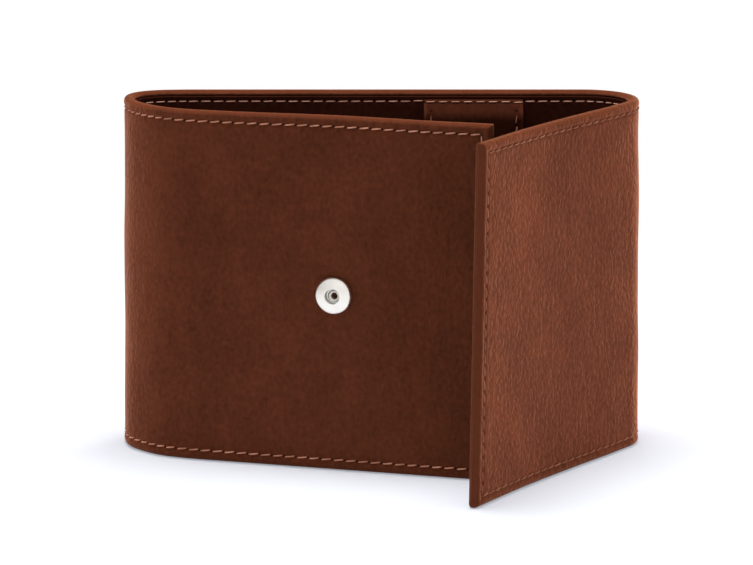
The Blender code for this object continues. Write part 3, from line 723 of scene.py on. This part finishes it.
def add_board(name, stretch, first, last, finish):
    """A flat or curved plate of board between the turned-in hems."""
    columns = np.linspace(first, last, math.ceil((last - first) / BOARD_STEP) + 1)
    count = math.ceil((HEIGHT - 2 * BOARD_EDGE) / BOARD_STEP) + 1
    s, z = np.meshgrid(columns, np.linspace(BOARD_EDGE, HEIGHT - BOARD_EDGE, count), indexing="ij")
    thin = BOARD / 2 * (np.minimum(z - BOARD_EDGE, HEIGHT - BOARD_EDGE - z) < MERGE)
    near = laid(stretch, s, BOARD_FACE + thin, z)
    far = laid(stretch, s, BOARD_FACE + BOARD - thin, z)
    return add_shell(name, near, far, finish, {})


def board_finish():
    """Pressed paper pulp: grey-brown with pale and dark fibres."""
    material, tree, shader = new_finish("grey_board", 0.85)
    place = add_node(tree, "TexCoord").outputs["Object"]
    settings = {"Vector": place, "Scale": 900.0, "Detail": 4.0, "Distortion": 1.5}
    fibres = add_node(tree, "TexNoise", settings).outputs["Fac"]
    colour = blend_colours(tree, ramp(tree, fibres, 0.3, 0.7), (0.22, 0.17, 0.12), (0.36, 0.29, 0.21))
    tree.links.new(colour, shader.inputs["Base Color"])
    bump = add_node(tree, "Bump", {"Height": fibres, "Distance": 0.05 * MM})
    tree.links.new(bump.outputs[0], shader.inputs["Normal"])
    return material


GREY_BOARD = board_finish()
# The back panel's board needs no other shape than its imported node, so it only gets its finish.
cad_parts["back_board"].material_slots[0].material = GREY_BOARD
for flap, first_gap, last_gap in (
    ("left_flap", BOARD_SETBACK, BOARD_EDGE),
    ("right_flap", BOARD_EDGE, BOARD_SETBACK),
):
    first, last = WALK[flap].first + first_gap, WALK[flap].last - last_gap
    board = add_board(f"{flap}_stiffener", flap, first, last, GREY_BOARD)
    settle(board, flap, f"{flap}_board")


def add_stay(name, fold, first, last):
    """Half of a fold's stay: the part of the half fold within half a stay of the fold's middle."""
    middle = (WALK[fold].first + WALK[fold].last) / 2
    first, last = max(first, middle - STAY_WIDTH / 2), min(last, middle + STAY_WIDTH / 2)
    return add_board(name, fold, first, last, GREY_BOARD)


over_folds(add_stay, "stay")


# Retaining band: a strip of the outer leather across the inside of the back panel. Its ends are sewn in
# with the panel's seams, and it stands off the lining, so that a cheque book's card slides behind it.

BAND_FROM_FOLD = 15.1 * MM
BAND_WIDTH = 25.3 * MM
BAND = 1.2 * MM
BAND_ROOM = 4.6 * MM
BAND_END_INSET = 2.2 * MM
BAND_FOOT = 1.2 * MM
BAND_FALL = 2.0 * MM
BAND_CORNER_CUT = 1.5 * MM
BAND_STEP = 0.6 * MM
BAND_END_ROUNDS = 6
BAND_SEAM_INSET = 1.8 * MM
BAND_SEAM_SETBACK = -0.6 * MM
BAND_FIRST = BACK.first + BAND_FROM_FOLD
BAND_LAST = BAND_FIRST + BAND_WIDTH
BAND_FOOT_FACE = THICKNESS + CLEARANCE + BAND
BAND_FACE = THICKNESS + BAND_ROOM + BAND
BAND_SEAM_LOW = BAND_END_INSET + BAND_FOOT + BAND_FALL + BAND_SEAM_SETBACK
BAND_STITCHES = round((HEIGHT - 2 * BAND_SEAM_LOW) / STITCH)
BAND_PITCH = (HEIGHT - 2 * BAND_SEAM_LOW) / BAND_STITCHES


def rounded_path(points, cuts, steps=7):
    """A line of straight runs with cut corners: from so far before one to as far after it, a parabola.

    cuts is one length, or one for each corner. No cut takes more than half of the shorter run.
    """
    points = np.array(points, float)
    corner = points[1:-1]
    runs = [points[:-2] - corner, points[2:] - corner]
    lengths = [np.linalg.norm(run, axis=1) for run in runs]
    cuts = np.minimum(np.broadcast_to(cuts, len(corner)), np.minimum(*lengths) / 2)
    start, end = (corner + run * (cuts / length)[:, None] for run, length in zip(runs, lengths))
    t = np.linspace(0, 1, steps)[:, None, None]
    curves = (1 - t) ** 2 * start + 2 * t * (1 - t) * corner + t**2 * end
    curves = curves.transpose(1, 0, 2).reshape(-1, points.shape[1])
    return np.concatenate([points[:1], curves, points[-1:]])


def band_line():
    """Middle line of the band, as depths and heights: flat at both feet and bowed out between them."""
    foot = BAND_FOOT_FACE - BAND / 2
    face = BAND_FACE - BAND / 2
    rise = BAND_END_INSET + BAND_FOOT
    lower = [(foot, BAND_END_INSET), (foot, rise), (face, rise + BAND_FALL)]
    upper = [(y, HEIGHT - z) for y, z in reversed(lower)]
    return rounded_path(lower + upper, BAND_CORNER_CUT)


def add_band(name, finish):
    """The band: its middle line carried across its width, thinning out round every edge.

    Both faces stand off the line square to its slope, and the one that shows dips along the two seams.
    """
    path = band_line()
    walked = unrolled(path[:, 0], path[:, 1])
    ends = BAND * (1 - np.cos(np.linspace(0, math.pi / 2, BAND_END_ROUNDS)))
    steps = np.concatenate([walked, np.arange(0, walked[-1], BAND_STEP), ends, walked[-1] - ends])
    steps = np.unique(steps)
    steps = steps[np.append(np.diff(steps) > MERGE, True)]
    y, z = (np.interp(steps, walked, path[:, axis]) for axis in (0, 1))
    slope_y, slope_z = np.gradient(y, steps), np.gradient(z, steps)
    size = np.hypot(slope_y, slope_z)
    side = edge_steps(BAND / 2, 2 * BAND_SEAM_INSET)
    middle = np.arange(side[-1] + BAND_STEP, BAND_WIDTH - side[-1], BAND_STEP)
    across = np.concatenate([side, middle, BAND_WIDTH - side[::-1]])
    s, walk = np.meshgrid(BAND_FIRST + across, steps, indexing="ij")
    to_side = np.minimum(across, BAND_WIDTH - across)[:, None]
    edge = np.minimum(to_side, np.minimum(walk, walked[-1] - walk))
    half = BAND / 2 * (1 - rounding(edge, BAND / 2))
    seam = to_side - BAND_SEAM_INSET
    in_seam = (z > BAND_SEAM_LOW - SEAM_STEP) & (z < HEIGHT - BAND_SEAM_LOW + SEAM_STEP)
    dent = SEAM_DENT * np.exp(-((seam / SEAM_DENT_WIDTH) ** 2)) * in_seam
    faces = []
    for off in (-half, half - dent):
        faces.append(laid("back", s, y + off * slope_z / size, z - off * slope_y / size))
    along = (z - BAND_SEAM_LOW) / BAND_PITCH + 0 * s
    hide = np.stack([s, walk, 0 * s], -1)
    far = np.stack([along, HEIGHT + 0 * s, edge], -1)
    near = np.stack([along, np.where(in_seam, seam, HEIGHT) + 0 * s, edge], -1)
    return add_shell(name, *faces, finish, {"hide": (hide, hide), "seam": (far, near)})


# The band is cut from the outer leather but coloured far darker, as painted shade for the pocket it
# stands in. Its edges are painted lighter than its face, a painted highlight.
PAINTED_SHADE_BAND_LEATHER = leather_finish(
    "band_leather_painted_shade",
    deep=(0.023, 0.0058, 0.0028),
    lit=(0.045, 0.0115, 0.0055),
    edge=(0.066, 0.0172, 0.0088),
    relief_mm=0.24,
    roughness=0.50,
    specular=0.02,
)
settle(add_band("retaining_band_strap", PAINTED_SHADE_BAND_LEATHER), "back", "retaining_band")


# Seam thread: bonded tan thread, lockstitched 8 to the inch through both layers. Each stitch is a
# grain of thread that comes up out of one needle hole and goes down into the next.

STRAND_RADIUS = 0.20 * MM
INNER_STRAND_RADIUS = 0.17 * MM
STITCH_GAP = 0.28 * MM
STITCH_SLANT = 0.18 * MM
INNER_SLANT = 0.03 * MM
INNER_DROP = 0.2 * MM
BAND_RISE = 0.13 * MM
STITCH_DIVE = 0.30 * MM
STITCH_PROUD = 0.22 * MM
RING_PLACES = np.array([0, 0.02, 0.12, 0.32, 0.5, 0.68, 0.88, 0.98, 1])
STRAND_SIDES = 7


def add_stitches(name, starts, ends, outwards, finish, strand_radius=STRAND_RADIUS):
    """Grains of thread between pairs of points on a face.

    A grain's middle line bows out by a fourth-power arch. Its radius falls by the root of 1 less a
    sixth power, so that it closes at both ends. The strand mark is the place along and round it.
    """
    u = RING_PLACES[None, :, None]
    starts, ends, outwards = starts[:, None], ends[:, None], outwards[:, None]
    length = np.linalg.norm(ends - starts, axis=-1, keepdims=True)
    lift = (STITCH_PROUD - STRAND_RADIUS) - STITCH_DIVE * (2 * u - 1) ** 4
    middle = starts + (ends - starts) * u + outwards * lift
    sideways = np.cross((ends - starts) / length, outwards)
    radius = strand_radius * np.sqrt(np.clip(1 - (2 * u - 1) ** 6, 0, 1))[..., None]
    turn = np.arange(STRAND_SIDES) * 2 * math.pi / STRAND_SIDES
    ring = np.cos(turn)[:, None] * outwards[:, :, None] + np.sin(turn)[:, None] * sideways[:, :, None]
    points = middle[:, :, None] + radius * ring
    ids = numbered(points)
    ids[:, 0] = ids[:, 0, :1]
    ids[:, -1] = ids[:, -1, :1]
    along = np.arange(len(starts))[:, None, None] * STITCH + u * length
    strand = np.stack(np.broadcast_arrays(along, turn, 0.0), -1)
    return add_mesh(name, points, tube(ids), finish, {"strand": strand})


TWIST = 1.1 * MM


def thread_finish(name, deep, lit, dark):
    """Twisted bonded thread: two ridges wind round each stitch, with painted shade between them, and
    worn in places.
    """
    material, tree, shader = new_finish(name, roughness=0.7, specular=0.12)
    parts = add_node(tree, "SeparateXYZ", {0: mark(tree, "strand")}).outputs
    turns = reckon(tree, "MULTIPLY_ADD", parts[0], 2 * math.pi / TWIST, parts[1])
    wave = reckon(tree, "SINE", reckon(tree, "MULTIPLY", turns, 2.0))
    ridge = reckon(tree, "MULTIPLY_ADD", wave, 0.5, 0.5)
    place = add_node(tree, "TexCoord").outputs["Object"]
    worn = add_node(tree, "TexNoise", {"Vector": place, "Scale": 260.0, "Detail": 3.0}).outputs["Fac"]
    colour = blend_colours(tree, ramp(tree, worn, 0.35, 0.7), deep, lit)
    # The grooves between the ridges are painted darker, as their shade.
    colour = blend_colours(tree, reckon(tree, "MULTIPLY_ADD", ridge, -0.35, 0.35), colour, dark)
    tree.links.new(colour, shader.inputs["Base Color"])
    bump = add_node(tree, "Bump", {"Height": ridge, "Distance": 0.05 * MM})
    tree.links.new(bump.outputs[0], shader.inputs["Normal"])
    return material


TAN_THREAD = thread_finish(
    "tan_thread", deep=(0.52, 0.220, 0.135), lit=(0.76, 0.355, 0.230), dark=(0.16, 0.055, 0.030)
)
# Darker thread: worn on the right flap, and painted shade on the band's seams.
RUBBED_AND_SHADED_THREAD = thread_finish(
    "rubbed_and_shaded_thread", deep=(0.30, 0.118, 0.068), lit=(0.46, 0.200, 0.122), dark=(0.20, 0.066, 0.036)
)
BOBBIN_THREAD = thread_finish(
    "bobbin_thread", deep=(0.48, 0.235, 0.165), lit=(0.68, 0.360, 0.270), dark=(0.14, 0.050, 0.030)
)


def inner_face(s):
    """Depth of the face under the inner thread: the lining, the band's foot or the slip pocket."""
    face = np.where((s > BAND_FIRST) & (s < BAND_LAST), BAND_FOOT_FACE, THICKNESS)
    return np.where(s > POCKET_FIRST, POCKET_FACE + LINING, face)


def stitch_ends(stretch, s, z, depth, face):
    """Points on a face at both ends of each stitch, and the way out of the face at its middle."""
    depth = np.broadcast_to(depth, s.shape)
    starts, ends = (laid(stretch, s[end], depth[end], z[end]) for end in (0, 1))
    mid_s, mid_y, mid_z = (np.mean(values, axis=0) for values in (s, depth, z))
    way = MM if face == "inner" else -MM
    out = laid(stretch, mid_s, mid_y + way, mid_z) - laid(stretch, mid_s, mid_y, mid_z)
    return starts, ends, out / np.linalg.norm(out, axis=-1, keepdims=True)


def long_run(stretch, first, last, level, face):
    """The stitches of a top or bottom seam whose middles lie between two places on the walk."""
    hole = SEAM_FIRST + np.arange(LONG_STITCHES) * LONG_PITCH
    middle = hole + LONG_PITCH / 2
    hole = hole[(middle >= first) & (middle < last)]
    s = np.stack([hole + STITCH_GAP, hole + LONG_PITCH - STITCH_GAP])
    over_band = (hole > BAND_FIRST) & (hole < BAND_LAST)
    inset = SEAM_INSET if face == "outer" else SEAM_INSET + INNER_DROP - BAND_RISE * over_band
    height = 0 * hole + (inset if level == "bottom" else HEIGHT - inset)
    slant = STITCH_SLANT if face == "outer" else -INNER_SLANT
    depth = inner_face(hole + LONG_PITCH / 2) if face == "inner" else 0.0
    return stitch_ends(stretch, s, np.stack([height - slant, height + slant]), depth, face)


def short_run(flap, face):
    """The stitches down a flap's free end."""
    hole = SEAM_INSET + np.arange(SHORT_STITCHES) * SHORT_PITCH
    z = np.stack([hole + STITCH_GAP, hole + SHORT_PITCH - STITCH_GAP])
    place = 0 * hole + (SEAM_FIRST if flap == "right_flap" else SEAM_LAST)
    slant = -STITCH_SLANT if face == "outer" else INNER_SLANT
    depth = inner_face(place) if face == "inner" else 0.0
    return stitch_ends(flap, np.stack([place - slant, place + slant]), z, depth, face)


def seam_thread(stretch, face):
    """Finish and radius of a stretch's thread.

    The right flap is handled most, so the thread outside it and its fold is rubbed to near the leather.
    """
    if face == "inner":
        return BOBBIN_THREAD, INNER_STRAND_RADIUS
    return (RUBBED_AND_SHADED_THREAD if stretch.startswith("right") else TAN_THREAD), STRAND_RADIUS


for face in ("outer", "inner"):
    for level in ("top", "bottom"):
        run = long_run("back", BACK.first, BACK.last, level, face)
        piece = add_stitches(f"back_{level}_{face}_stitches", *run, *seam_thread("back", face))
        settle(piece, "back", f"back_{level}_{face}_thread")

        def add_fold_run(name, fold, first, last):
            """The stitches of this seam on half a fold."""
            run = long_run(fold, first, last, level, face)
            return add_stitches(name, *run, *seam_thread(fold, face))

        over_folds(add_fold_run, f"{level}_{face}_thread")
    for flap in ("left_flap", "right_flap"):
        first, last = WALK[flap].first, WALK[flap].last
        runs = [long_run(flap, first, last, level, face) for level in ("bottom", "top")]
        runs.append(short_run(flap, face))
        joined = [np.concatenate(parts) for parts in zip(*runs)]
        piece = add_stitches(f"{flap}_{face}_stitches", *joined, *seam_thread(flap, face))
        settle(piece, flap, f"{flap}_{face}_thread")

hole = BAND_SEAM_LOW + np.arange(BAND_STITCHES) * BAND_PITCH
z = np.stack([hole + STITCH_GAP, hole + BAND_PITCH - STITCH_GAP])
depth = np.interp(z, *band_line().T[::-1]) + BAND / 2
for side, place in (("right", BAND_FIRST + BAND_SEAM_INSET), ("left", BAND_LAST - BAND_SEAM_INSET)):
    s = np.stack([0 * hole + place + STITCH_SLANT, 0 * hole + place - STITCH_SLANT])
    run = stitch_ends("back", s, z, depth, "inner")
    # The band's seams take the darker thread as painted shade, like the band itself.
    piece = add_stitches(f"band_{side}_stitches", *run, RUBBED_AND_SHADED_THREAD)
    settle(piece, "back", f"band_{side}_thread")


# Snap: a pressed nickel socket on the left flap and a stud on the right one, each held by a steel
# rivet that is rolled over in its middle. A ring of spring wire in the socket grips the stud.

SOCKET_PLACE = WALK["left_flap"].first + 43.4 * MM
SOCKET_SEAT = -0.3 * MM
SOCKET_HOLE_RADIUS = 1.4 * MM
SOCKET_RADIUS = 4.6 * MM
SOCKET_HEIGHT = 1.9 * MM
SOCKET_EDGE = 1.1 * MM
SOCKET_FLOOR = 0.5 * MM
SOCKET_MOUTH_RADIUS = 1.85 * MM
SOCKET_LIP = 0.5 * MM
SOCKET_CAVITY_RADIUS = 2.75 * MM
SOCKET_LID = SOCKET_HEIGHT - SOCKET_LIP
SPRING_WIRE = 0.4 * MM
SPRING_GAP = math.radians(50.0)
SPRING_STEPS = 73
SPRING_SIDES = 12
RIVET_SEAT = LEATHER + CLEARANCE
RIVET_FLANGE_RADIUS = 3.6 * MM
RIVET_FLANGE = 0.4 * MM
RIVET_BORE_RADIUS = 0.8 * MM
RIVET_NECK_RADIUS = 1.05 * MM
RIVET_ROLL_RADIUS = 1.5 * MM
RIVET_OFFSET = 0.3 * MM
RIVET_ROLL = SOCKET_SEAT - SOCKET_FLOOR - 0.05 * MM
RIVET_ROLL_HEIGHT = 0.4 * MM
STUD_PLACE = WALK["right_flap"].last - 56.4 * MM
STUD_SEAT = THICKNESS + CLEARANCE
STUD_BORE_RADIUS = 1.0 * MM
STUD_FLANGE_RADIUS = 3.8 * MM
STUD_FLANGE = 0.5 * MM
STUD_NECK_RADIUS = 1.35 * MM
STUD_KNOB_RADIUS = 1.7 * MM
STUD_HEIGHT = 2.5 * MM
PIN_RADIUS = 0.7 * MM
PIN_ROLL_RADIUS = 1.25 * MM
PIN_ROLL = STUD_SEAT + STUD_HEIGHT + CLEARANCE
TURNED_STEPS = 96


def add_turned(name, outline, cuts, stretch, place, finish):
    """A turned piece: an outline of radii and depths, its corners rounded, carried round at mid height.

    The outline closes on itself, or it starts and ends on the axis, where a point closes the piece.
    """
    outline = np.array(outline, float)
    on_axis = outline[0, 0] == 0
    if on_axis:
        profile = rounded_path(outline, cuts)
    else:
        profile = rounded_path(np.concatenate([outline[-1:], outline, outline[:1]]), cuts)[1:-1]
    profile = profile[np.append(np.linalg.norm(np.diff(profile, axis=0), axis=1) > MERGE, True)]
    radius, depth = profile.T[:, :, None]
    turn = np.linspace(0, 2 * math.pi, TURNED_STEPS, endpoint=False)
    s, z = place + radius * np.cos(turn), HEIGHT / 2 + radius * np.sin(turn)
    points = laid(stretch, s, depth + 0 * turn, z)
    ids = numbered(points)
    if on_axis:
        ids[0], ids[-1] = ids[0, 0], ids[-1, 0]
    else:
        ids = np.concatenate([ids, ids[:1]])
    return add_mesh(name, points, tube(ids), finish)


def metal_finish(name, deep, lit, roughness, speckle_mm, metallic=1.0):
    """Bright metal, tumbled satin: fine speckle and soft clouds in its tone and roughness."""
    material, tree, shader = new_finish(name, roughness, metallic=metallic)
    place = add_node(tree, "TexCoord").outputs["Object"]
    clouds = add_node(tree, "TexNoise", {"Vector": place, "Scale": 420.0, "Detail": 3.0}).outputs[0]
    specks = add_node(tree, "TexNoise", {"Vector": place, "Scale": 3200.0, "Detail": 2.0}).outputs[0]
    colour = blend_colours(tree, ramp(tree, clouds, 0.3, 0.7), deep, lit)
    tree.links.new(colour, shader.inputs["Base Color"])
    rough = ramp(tree, clouds, 0.3, 0.7, roughness - 0.06, roughness + 0.06)
    tree.links.new(rough, shader.inputs["Roughness"])
    bump = add_node(tree, "Bump", {"Height": specks, "Distance": speckle_mm * MM, "Strength": 0.6})
    tree.links.new(bump.outputs[0], shader.inputs["Normal"])
    return material


NICKEL = metal_finish(
    "satin_nickel", deep=(0.88, 0.85, 0.79), lit=(0.97, 0.94, 0.87), roughness=0.36, speckle_mm=0.07
)
STEEL = metal_finish(
    "rolled_steel",
    deep=(0.55, 0.52, 0.48),
    lit=(0.74, 0.71, 0.66),
    roughness=0.30,
    speckle_mm=0.01,
    metallic=0.55,
)

socket_outline = [
    (SOCKET_HOLE_RADIUS, 0),
    (SOCKET_RADIUS, 0),
    (SOCKET_RADIUS, SOCKET_EDGE),
    (SOCKET_MOUTH_RADIUS, SOCKET_HEIGHT),
    (SOCKET_MOUTH_RADIUS, SOCKET_LID),
    (SOCKET_CAVITY_RADIUS, SOCKET_LID),
    (SOCKET_CAVITY_RADIUS, SOCKET_FLOOR),
    (SOCKET_HOLE_RADIUS, SOCKET_FLOOR),
]
socket_cuts = np.array([0.08, 0.3, 0.55, 0.3, 0.12, 0.05, 0.3, 0.08]) * MM
socket_outline = [(radius, SOCKET_SEAT - height) for radius, height in socket_outline]
socket = add_turned("snap_socket_cup", socket_outline, socket_cuts, "left_flap", SOCKET_PLACE, NICKEL)
settle(socket, "left_flap", "snap_socket")

rivet_outline = [
    (RIVET_BORE_RADIUS, RIVET_SEAT + RIVET_FLANGE),
    (RIVET_FLANGE_RADIUS, RIVET_SEAT + RIVET_FLANGE),
    (RIVET_FLANGE_RADIUS, RIVET_SEAT),
    (RIVET_NECK_RADIUS, RIVET_SEAT),
    (RIVET_NECK_RADIUS, RIVET_ROLL),
    (RIVET_ROLL_RADIUS, RIVET_ROLL),
    (RIVET_ROLL_RADIUS, RIVET_ROLL - RIVET_ROLL_HEIGHT),
    (RIVET_BORE_RADIUS, RIVET_ROLL - RIVET_ROLL_HEIGHT),
]
rivet_cuts = np.array([0.08, 0.18, 0.18, 0.15, 0.08, 0.18, 0.2, 0.3]) * MM
rivet_place = SOCKET_PLACE + RIVET_OFFSET
rivet = add_turned("socket_rivet_rolled", rivet_outline, rivet_cuts, "left_flap", rivet_place, STEEL)
settle(rivet, "left_flap", "socket_rivet")

stud_outline = [
    (STUD_BORE_RADIUS, STUD_SEAT + STUD_HEIGHT),
    (STUD_KNOB_RADIUS, STUD_SEAT + STUD_HEIGHT),
    (STUD_KNOB_RADIUS, STUD_SEAT + STUD_HEIGHT - STUD_KNOB_RADIUS / 2),
    (STUD_NECK_RADIUS, STUD_SEAT + STUD_HEIGHT - STUD_KNOB_RADIUS),
    (STUD_NECK_RADIUS, STUD_SEAT + STUD_FLANGE),
    (STUD_FLANGE_RADIUS, STUD_SEAT + STUD_FLANGE),
    (STUD_FLANGE_RADIUS, STUD_SEAT),
    (STUD_BORE_RADIUS, STUD_SEAT),
]
stud_cuts = np.array([0.1, 0.4, 0.4, 0.2, 0.2, 0.24, 0.15, 0.05]) * MM
stud = add_turned("snap_stud_knob", stud_outline, stud_cuts, "right_flap", STUD_PLACE, NICKEL)
settle(stud, "right_flap", "snap_stud")

pin_outline = [
    (0, PIN_ROLL + RIVET_ROLL_HEIGHT),
    (PIN_ROLL_RADIUS, PIN_ROLL + RIVET_ROLL_HEIGHT),
    (PIN_ROLL_RADIUS, PIN_ROLL),
    (PIN_RADIUS, PIN_ROLL),
    (PIN_RADIUS, RIVET_SEAT + RIVET_FLANGE),
    (RIVET_FLANGE_RADIUS, RIVET_SEAT + RIVET_FLANGE),
    (RIVET_FLANGE_RADIUS, RIVET_SEAT),
    (0, RIVET_SEAT),
]
pin_cuts = np.array([0.3, 0.18, 0.05, 0.05, 0.19, 0.19]) * MM
pin = add_turned("stud_rivet_rolled", pin_outline, pin_cuts, "right_flap", STUD_PLACE, STEEL)
settle(pin, "right_flap", "stud_rivet")


def add_spring(name, finish):
    """The socket's spring: round wire carried round an open ring and closed by a point at each end."""
    turn = np.linspace(SPRING_GAP / 2, 2 * math.pi - SPRING_GAP / 2, SPRING_STEPS)
    turn = np.concatenate([turn[:1], turn, turn[-1:]])[:, None]
    thick = np.full(turn.shape, SPRING_WIRE / 2)
    thick[[0, -1]] = 0
    sides = np.arange(SPRING_SIDES) * 2 * math.pi / SPRING_SIDES
    ring = SOCKET_MOUTH_RADIUS + SPRING_WIRE / 2 + thick * np.cos(sides)
    depth = SOCKET_SEAT - (SOCKET_FLOOR + SOCKET_LID) / 2 + thick * np.sin(sides)
    s, z = SOCKET_PLACE + ring * np.sin(turn), HEIGHT / 2 + ring * np.cos(turn)
    points = laid("left_flap", s, depth, z)
    ids = numbered(points)
    ids[0], ids[-1] = ids[0, 0], ids[-1, 0]
    return add_mesh(name, points, tube(ids)[:, ::-1], finish)


settle(add_spring("socket_spring_ring", STEEL), "left_flap", "socket_spring")


# Setting: a white table under a light tent that is brightest towards the camera, with seven soft lamps
# round it, as for a catalogue picture.

TABLE_HALF = 3.0
TABLE_HEIGHT = -0.2 * MM
TABLE_PLAIN = (0.7, 0.7, 0.7)
TABLE_GLOW = (0.30, 0.31, 0.345)
TABLE_LIT = (0.475, 0.485, 0.505)
TABLE_FADE = (0.12, 0.30)
TENT_LIGHT = 0.20
TENT_SHINE = 0.97
TENT_FRONT = (-0.8, 0.2)
LAMP_AIM = (0.0, -0.02, 0.04)
VIEW_ELEVATION = math.radians(11.45)
VIEW_DISTANCE = 1.044
VIEW_CENTRE = (0.0, HEM / 2, 43.5 * MM)
VIEW_LENS = 193.7
PHOTO_WIDTH = 753
SHIFT_RIGHT_PX = -4.4
SHIFT_UP_PX = -19.2


def table_finish():
    """White table: to the camera and in reflections it glows, and the light on it adds the rest.

    So the object's shadow is a faint blue-grey, and it fades into plain white away from the object. The
    light that the table sends back onto the object comes from a plain pale grey.
    """
    material = bpy.data.materials.new("white_table")
    material.use_nodes = True
    tree = material.node_tree
    tree.nodes.clear()
    output = tree.nodes.new("ShaderNodeOutputMaterial")
    place = add_node(tree, "TexCoord").outputs["Object"]
    away = add_node(tree, "VectorMath", {0: place}, operation="LENGTH").outputs["Value"]
    plain = add_node(tree, "BsdfDiffuse", {"Color": (*TABLE_PLAIN, 1)}).outputs[0]
    glow = add_node(tree, "Emission", {"Color": (*TABLE_GLOW, 1)}).outputs[0]
    lit = add_node(tree, "BsdfDiffuse", {"Color": (*TABLE_LIT, 1)}).outputs[0]
    near = add_node(tree, "AddShader", {0: glow, 1: lit}).outputs[0]
    white = add_node(tree, "Emission", {"Color": (1, 1, 1, 1)}).outputs[0]
    seen = add_node(tree, "MixShader", {0: ramp(tree, away, *TABLE_FADE), 1: near, 2: white}).outputs[0]
    rays = add_node(tree, "LightPath").outputs
    seeing = reckon(tree, "MAXIMUM", rays["Is Camera Ray"], rays["Is Glossy Ray"])
    seeing = reckon(tree, "MAXIMUM", seeing, rays["Is Transmission Ray"])
    mixed = add_node(tree, "MixShader", {0: seeing, 1: plain, 2: seen}).outputs[0]
    tree.links.new(mixed, output.inputs["Surface"])
    return material


signs = np.array([(-1, -1, 0), (1, -1, 0), (1, 1, 0), (-1, 1, 0)])
corners = signs * TABLE_HALF + (0, 0, TABLE_HEIGHT)
add_mesh("table", corners, np.array([(0, 1, 2, 3)]), table_finish())


def add_tent():
    """World light: white to the camera. For other rays it is bright in front and dark behind, and there
    it is far brighter in reflections, which metal shows, than in the light that it gives the object.
    """
    world = bpy.data.worlds.new("tent")
    bpy.context.scene.world = world
    world.use_nodes = True
    tree = world.node_tree
    way = add_node(tree, "SeparateXYZ", {0: add_node(tree, "TexCoord").outputs["Generated"]}).outputs
    front = ramp(tree, way[1], *TENT_FRONT, 1.0, 0.0)
    rays = add_node(tree, "LightPath").outputs
    level = ramp(tree, rays["Is Glossy Ray"], 0.0, 1.0, TENT_LIGHT, TENT_SHINE)
    level = reckon(tree, "MULTIPLY", front, level)
    mix = add_node(tree, "Mix", {0: rays["Is Camera Ray"], 2: level, 3: 1.0}, data_type="FLOAT")
    background = tree.nodes["Background"]
    tree.links.new(mix.outputs[0], background.inputs["Strength"])
    background.inputs["Color"].default_value = (1, 1, 1, 1)


add_tent()


def add_lamp(name, place, size, level):
    """A square lamp aimed at the cover, where a surface that faces it shows its colour times level."""
    light = bpy.data.lights.new(name, "AREA")
    light.shape = "SQUARE"
    light.size = size
    lamp = bpy.data.objects.new(name, light)
    bpy.context.scene.collection.objects.link(lamp)
    lamp.location = place
    way = Vector(LAMP_AIM) - Vector(place)
    lamp.rotation_euler = way.to_track_quat("-Z", "Y").to_euler()
    light.energy = level * math.pi**2 * way.length_squared
    lamp.visible_camera = False
    lamp.visible_glossy = False


add_lamp("left_lamp", (-0.93, 0.27, 0.09), 0.14, 0.26)
add_lamp("right_lamp", (0.92, 0.34, 0.09), 0.14, 0.42)
add_lamp("rear_lamp", (0.62, 0.78, 0.09), 0.14, 1.5)
add_lamp("top_lamp", (-0.02, 0.02, 1.04), 0.5, 1.50)
add_lamp("top_left_lamp", (-0.70, -0.10, 0.70), 0.5, 0.13)
add_lamp("front_lamp", (-0.20, -0.70, 0.72), 0.4, 0.14)
add_lamp("right_near_lamp", (0.33, -0.48, 0.19), 0.30, 0.13)

camera = bpy.data.objects.new("camera", bpy.data.cameras.new("camera"))
bpy.context.scene.collection.objects.link(camera)
camera.location = (
    VIEW_CENTRE[0],
    VIEW_CENTRE[1] - VIEW_DISTANCE * math.cos(VIEW_ELEVATION),
    VIEW_CENTRE[2] + VIEW_DISTANCE * math.sin(VIEW_ELEVATION),
)
camera.rotation_euler = (math.pi / 2 - VIEW_ELEVATION, 0, 0)
camera.data.lens = VIEW_LENS
camera.data.shift_x = SHIFT_RIGHT_PX / PHOTO_WIDTH
camera.data.shift_y = SHIFT_UP_PX / PHOTO_WIDTH
bpy.context.scene.camera = camera
bpy.context.scene.view_settings.view_transform = "Standard"
